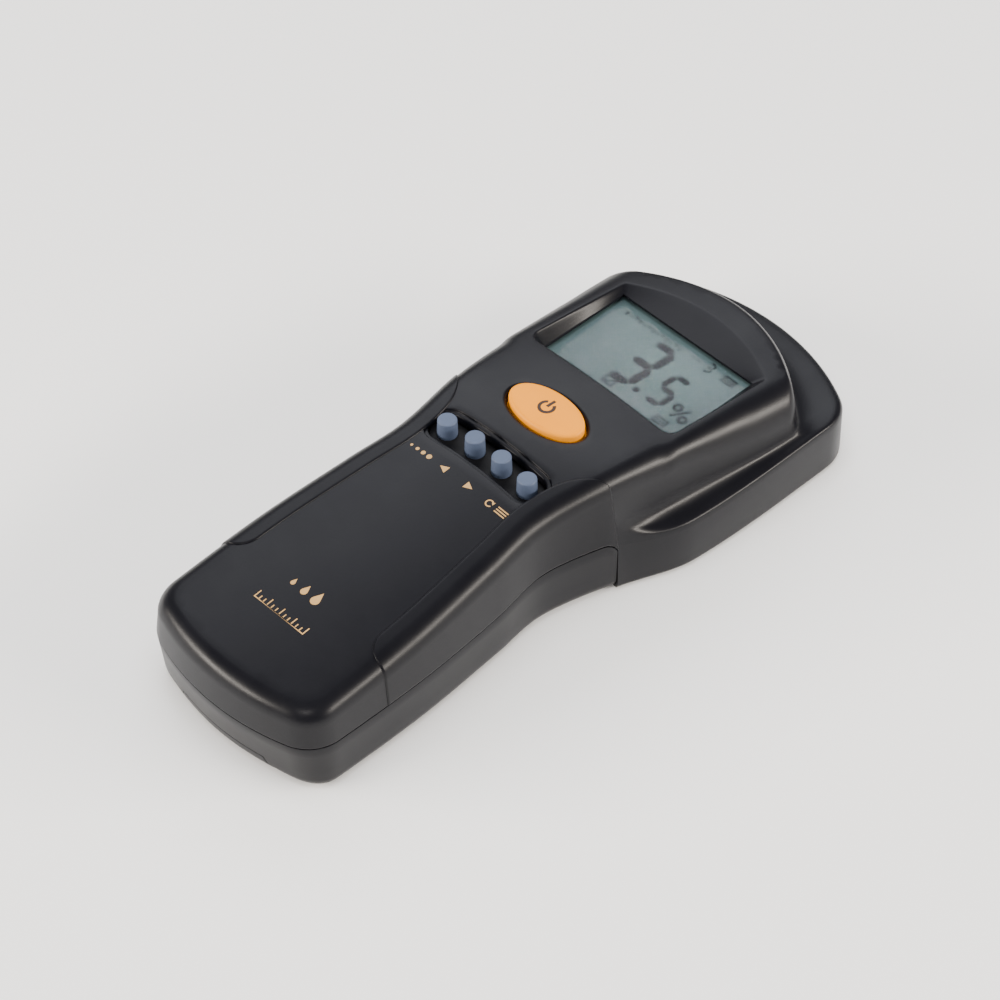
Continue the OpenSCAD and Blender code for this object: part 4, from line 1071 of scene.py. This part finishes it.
# Print and display content: thin shapes laid on a surface, each an outline and its holes
def laid(name, shapes, height, thick, mat, body, sliced=1.2):
    verts, faces = [], []
    for outline, holes in shapes:
        grid, tris = fillBetween(outline, holes, sliced)
        pts = [tuple(p) for p in outline] + [tuple(p) for h in holes for p in h] + [tuple(g) for g in grid]
        base = len(verts)
        m = len(pts)
        verts.extend([(x, y, height(x, y) + thick) for x, y in pts])
        verts.extend([(x, y, height(x, y) - 0.01) for x, y in pts])
        faces.extend([tuple(base + i for i in t) for t in tris])
        faces.extend([tuple(base + m + i for i in reversed(t)) for t in tris])
        start = 0
        for loop in [outline] + list(holes):
            n = len(loop)
            for i in range(n):
                a, b = base + start + i, base + start + (i + 1) % n
                faces.append((a, b, b + m, a + m))
            start += n
    made = makeMesh(name, verts, faces, mat, 30)
    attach(made, body)
    return made


# Outlines for the shapes: a bar, a disc, a ring, part of a ring, a drop and a frame
def bar(x0, y0, x1, y1, w):
    d = np.array([x1 - x0, y1 - y0])
    n = np.array([-d[1], d[0]]) / np.linalg.norm(d) * w / 2
    return ([(x0 - n[0], y0 - n[1]), (x1 - n[0], y1 - n[1]), (x1 + n[0], y1 + n[1]),
             (x0 + n[0], y0 + n[1])], [])


def disc(x, y, r, n=20):
    return (circleLoop(x, y, r, n), [])


def hoop(x, y, r, w, n=28):
    return (circleLoop(x, y, r + w / 2, n), [circleLoop(x, y, r - w / 2, n)])


def arcBand(x, y, r, w, a0, a1, n=26):
    angles = np.radians(np.linspace(a0, a1, n))
    out = [(x + (r + w / 2) * math.cos(a), y + (r + w / 2) * math.sin(a)) for a in angles]
    return (out + [(x + (r - w / 2) * math.cos(a), y + (r - w / 2) * math.sin(a)) for a in angles[::-1]], [])


def droplet(x, y, r):
    pts = [(x + r * math.sin(a), y - r * math.cos(a)) for a in np.radians(np.linspace(-115, 115, 23))]
    return (pts + [(x, y + 2.3 * r)], [])


def frameBox(x0, y0, x1, y1, w):
    return ([(x0, y0), (x1, y0), (x1, y1), (x0, y1)],
            [[(x0 + w, y0 + w), (x1 - w, y0 + w), (x1 - w, y1 - w), (x0 + w, y1 - w)]])


# Print: growing dots, two arrows, a return and list sign, three drops and a scale
printed = {"y": yKeys - 9.2, "dots": (0.22, 0.32, 0.42, 0.52, 0.62), "dotPitch": 1.75, "line": 0.3,
           "linePitch": 0.65, "handleY": yEnd + 26, "drops": (0.55, 0.8, 1.05), "dropPitch": 3.4,
           "scaleY": yEnd + 18.8, "ticks": 13, "tickPitch": 1.2, "tickLine": 0.26, "ink": 0.02}
labels = []
y = printed["y"]
for i, r in enumerate(printed["dots"]):
    labels.append(disc(keyX[0] - 3.4 + i * printed["dotPitch"], y + 0.25, r))
for x, way in ((keyX[1] + 0.2, -1), (keyX[2] - 0.2, 1)):
    labels.append(([(x + way * 1.05, y + 0.1), (x - way * 0.95, y + 1.05), (x - way * 0.95, y - 0.85)], []))
x = keyX[3]
labels.append(arcBand(x - 1.9, y, 0.8, printed["line"], 40, 330))
labels.append(([(x - 1.0, y + 0.9), (x - 1.7, y + 0.55), (x - 1.05, y + 0.0)], []))
for i in range(3):
    lineY = y + 0.65 - i * printed["linePitch"]
    labels.append(bar(x + 0.1, lineY, x + 3.0, lineY, printed["line"]))
for i, r in enumerate(printed["drops"]):
    labels.append(droplet(-4.0 + i * printed["dropPitch"], printed["handleY"] + 0.3 - r * 0.3, r))
y, w = printed["scaleY"], printed["tickLine"]
for i in range(printed["ticks"]):
    x = -7.2 + i * printed["tickPitch"]
    labels.append(bar(x, y, x, y + (1.7 if i % 3 == 0 else 0.9), w))
labels.append(bar(-7.35, y - 0.15, 7.35, y - 0.15, w))
laid("printedLabels", labels, topZ, printed["ink"], padPrint, "casing")

standby = [arcBand(0, yPower, 1.6, 0.72, 125, 415), bar(0, yPower + 0.1, 0, yPower + 2.5, 0.72)]
laid("standbySymbol", standby, lambda x, y: domeZ(x, y - yPower), printed["ink"], darkPrint, "power_button",
     0.6)


# Seven segments; the string says which are lit, in the order top, upper right, lower right,
# bottom, lower left, upper left, middle
def digit(x, y, w, h, lit, t, slant=0.04):
    def seg(x0, y0, x1, y1):
        flat = abs(y1 - y0) < abs(x1 - x0)
        g = 0.12
        if flat:
            pts = [(x0 + g, y0), (x0 + g + t / 2, y0 + t / 2), (x1 - g - t / 2, y0 + t / 2), (x1 - g, y0),
                   (x1 - g - t / 2, y0 - t / 2), (x0 + g + t / 2, y0 - t / 2)]
        else:
            pts = [(x0, y0 + g), (x0 + t / 2, y0 + g + t / 2), (x0 + t / 2, y1 - g - t / 2), (x0, y1 - g),
                   (x0 - t / 2, y1 - g - t / 2), (x0 - t / 2, y0 + g + t / 2)]
        return ([(px + (py - y) * slant, py) for px, py in pts], [])
    a, b, c = y, y + h / 2, y + h
    every = [seg(x, c, x + w, c), seg(x + w, b, x + w, c), seg(x + w, a, x + w, b), seg(x, a, x + w, a),
             seg(x, a, x, b), seg(x, b, x, c), seg(x, b, x + w, b)]
    return [s for s, on in zip(every, lit) if on == "1"]


# What the display shows, in millimetres on its glass: the reading with a point and a percent
# sign, a row of small segments, a battery sign, a tick box and a dotted box
reading = {"three": "1111001", "five": "1011011", "baseY": 36.0, "topRowY": 51.9, "topBars": 13,
           "topPitch": 1.3}
y = reading["baseY"]
content = digit(-5.6, y, 5.5, 13.5, reading["three"], 2.0, 0.05)
content += digit(5.1, y, 3.9, 9.2, reading["five"], 1.45, 0.04)
content.append(disc(2.3, y + 0.1, 0.8))
content += [hoop(12.3, y + 2.6, 0.9, 0.65), bar(12.6, y - 0.4, 15.2, y + 3.6, 0.6),
            hoop(15.5, y + 0.5, 0.9, 0.65)]
y = reading["topRowY"]
for i in range(reading["topBars"]):
    x = -15.7 + i * reading["topPitch"]
    content.append(bar(x, y - 0.9 + i % 3 * 0.25, x, y + 0.5 - (i + 1) % 3 * 0.3, 0.62))
content += [bar(3.2, y, 4.2, y, 0.35), bar(4.8, y, 5.8, y, 0.35)]
content += digit(7.6, y - 1.3, 1.6, 2.8, reading["three"], 0.55, 0.0)
content.append(frameBox(12.4, y - 1.1, 16.0, y + 1.1, 0.42))
content += [bar(13.3 + i * 0.9, y - 0.6, 13.3 + i * 0.9, y + 0.6, 0.45) for i in range(3)]
content.append(frameBox(-5.2, 32.7, -2.0, 35.3, 0.45))
content += [bar(-4.6, 33.8, -3.9, 33.3, 0.45), bar(-4.0, 33.3, -2.7, 34.7, 0.45)]
content.append(frameBox(10.6, 31.9, 14.3, 34.1, 0.42))
content += [disc(11.6 + i * 0.85, 33.0, 0.32, 12) for i in range(3)]
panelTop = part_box("lcd_panel")[1][2] / mm
laid("displayContent", content, lambda x, y: panelTop + 0.02, 0.02, segmentInk, "casing", 3.0)
print("print and display content made")


# Materials for the pieces that keep their own shape
nodeMaterials = {
    "display_window": acrylic, "lcd_panel": lcdGlass, "lcd_reflector": mirrorFilm, "lcd_frame": whiteFrame,
    "zebra_strips": zebraRubber, "key_guide": innerAbs, "main_board": solderMask, "switch_bodies": epoxy,
    "power_plunger": innerAbs, "density_plunger": innerAbs, "left_plunger": innerAbs, "right_plunger": innerAbs,
    "mode_plunger": innerAbs, "microcontroller": epoxy, "support_chips": epoxy, "crystal": drawnCan,
    "capacitors": drawnCan, "buzzer": epoxy, "sensor_plate": copperSheet, "sensor_insulator": sheetFoam,
    "sensor_lead": wireWhite, "battery": batteryJacket, "battery_snap": epoxy, "battery_lead_red": wireRed,
    "battery_lead_black": wireBlack, "battery_foam": foam, "board_screws": zincSteel,
}
for node, mat in nodeMaterials.items():
    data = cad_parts[node].data
    data.materials.clear()
    data.materials.append(mat)
print("materials given to", len(nodeMaterials), "carried-over pieces")


# Floor, light and camera
def stagePlane(name, size, z, color):
    mat, tree, shader, place = newMaterial(name + "Paint")
    shader.inputs["Base Color"].default_value = linear(color)
    shader.inputs["Roughness"].default_value = 0.9
    shader.inputs["Specular IOR Level"].default_value = 0.1
    data = bpy.data.meshes.new(name)
    s = size / 2
    data.from_pydata([(-s, -s, z), (s, -s, z), (s, s, z), (-s, s, z)], [], [(0, 1, 2, 3)])
    data.materials.append(mat)
    linked(name, data)


stagePlane("paleFloor", 6.0, -0.0002, "#ffffff")

# Watts, size and place in metres, colour; the overhead box lights without showing in the gloss
lights = {
    "overheadSoftbox": (15.0, (0.9, 0.9), (0.05, -0.1, 1.25), (0, 0, 0), (1, 1, 1), False),
    "backSoftbox": (5.5, (0.9, 0.6), (-0.64, 0.6, 0.83), (0, 0, 0.02), (0.93, 0.95, 1.0), True),
    "rightStrip": (22.0, (0.9, 0.14), (0.95, 0.58, 0.47), (0, 0, 0.02), (1.0, 0.93, 0.84), True),
    "frontStrip": (22.0, (0.9, 0.14), (-0.6, -0.95, 0.44), (0, 0, 0.02), (1.0, 0.93, 0.84), True),
    "cornerFill": (2.5, (0.25, 0.25), (0.47, -0.62, 0.92), (0, 0, 0.02), (1.0, 0.95, 0.9), True),
}


def areaLight(name, energy, size, place, aim, color, glossy):
    data = bpy.data.lights.new(name, "AREA")
    data.shape = "RECTANGLE"
    data.size, data.size_y = size
    data.energy = energy
    data.color = color
    made = linked(name, data)
    made.location = place
    made.rotation_euler = (Vector(aim) - Vector(place)).to_track_quat("-Z", "Y").to_euler()
    made.visible_glossy = glossy


for name, values in lights.items():
    areaLight(name, *values)

world = bpy.data.worlds.new("studio")
world.use_nodes = True
sky = world.node_tree.nodes["Background"]
sky.inputs["Color"].default_value = (1, 1, 1, 1)
sky.inputs["Strength"].default_value = 0.28
bpy.context.scene.world = world

# Angles in degrees, lengths in metres, lens in millimetres
view = {"azimuth": 46.39, "elevation": 45.39, "roll": -0.073, "distance": 0.8505,
        "target": (0.0004236, -0.0017637, 0.015), "lens": 147.27}
cameraData = bpy.data.cameras.new("camera")
cameraData.lens = view["lens"]
cameraData.sensor_width = 36
cameraData.clip_start = 0.01
camera = linked("camera", cameraData)
a, e = math.radians(view["azimuth"]), math.radians(view["elevation"])
back = Vector((math.sin(a) * math.cos(e), -math.cos(a) * math.cos(e), math.sin(e)))
camera.location = Vector(view["target"]) + back * view["distance"]
turn = (-back).to_track_quat("-Z", "Y").to_matrix().to_4x4()
camera.rotation_euler = (turn @ Matrix.Rotation(math.radians(view["roll"]), 4, "Z")).to_euler()
bpy.context.scene.camera = camera
print("stage set")
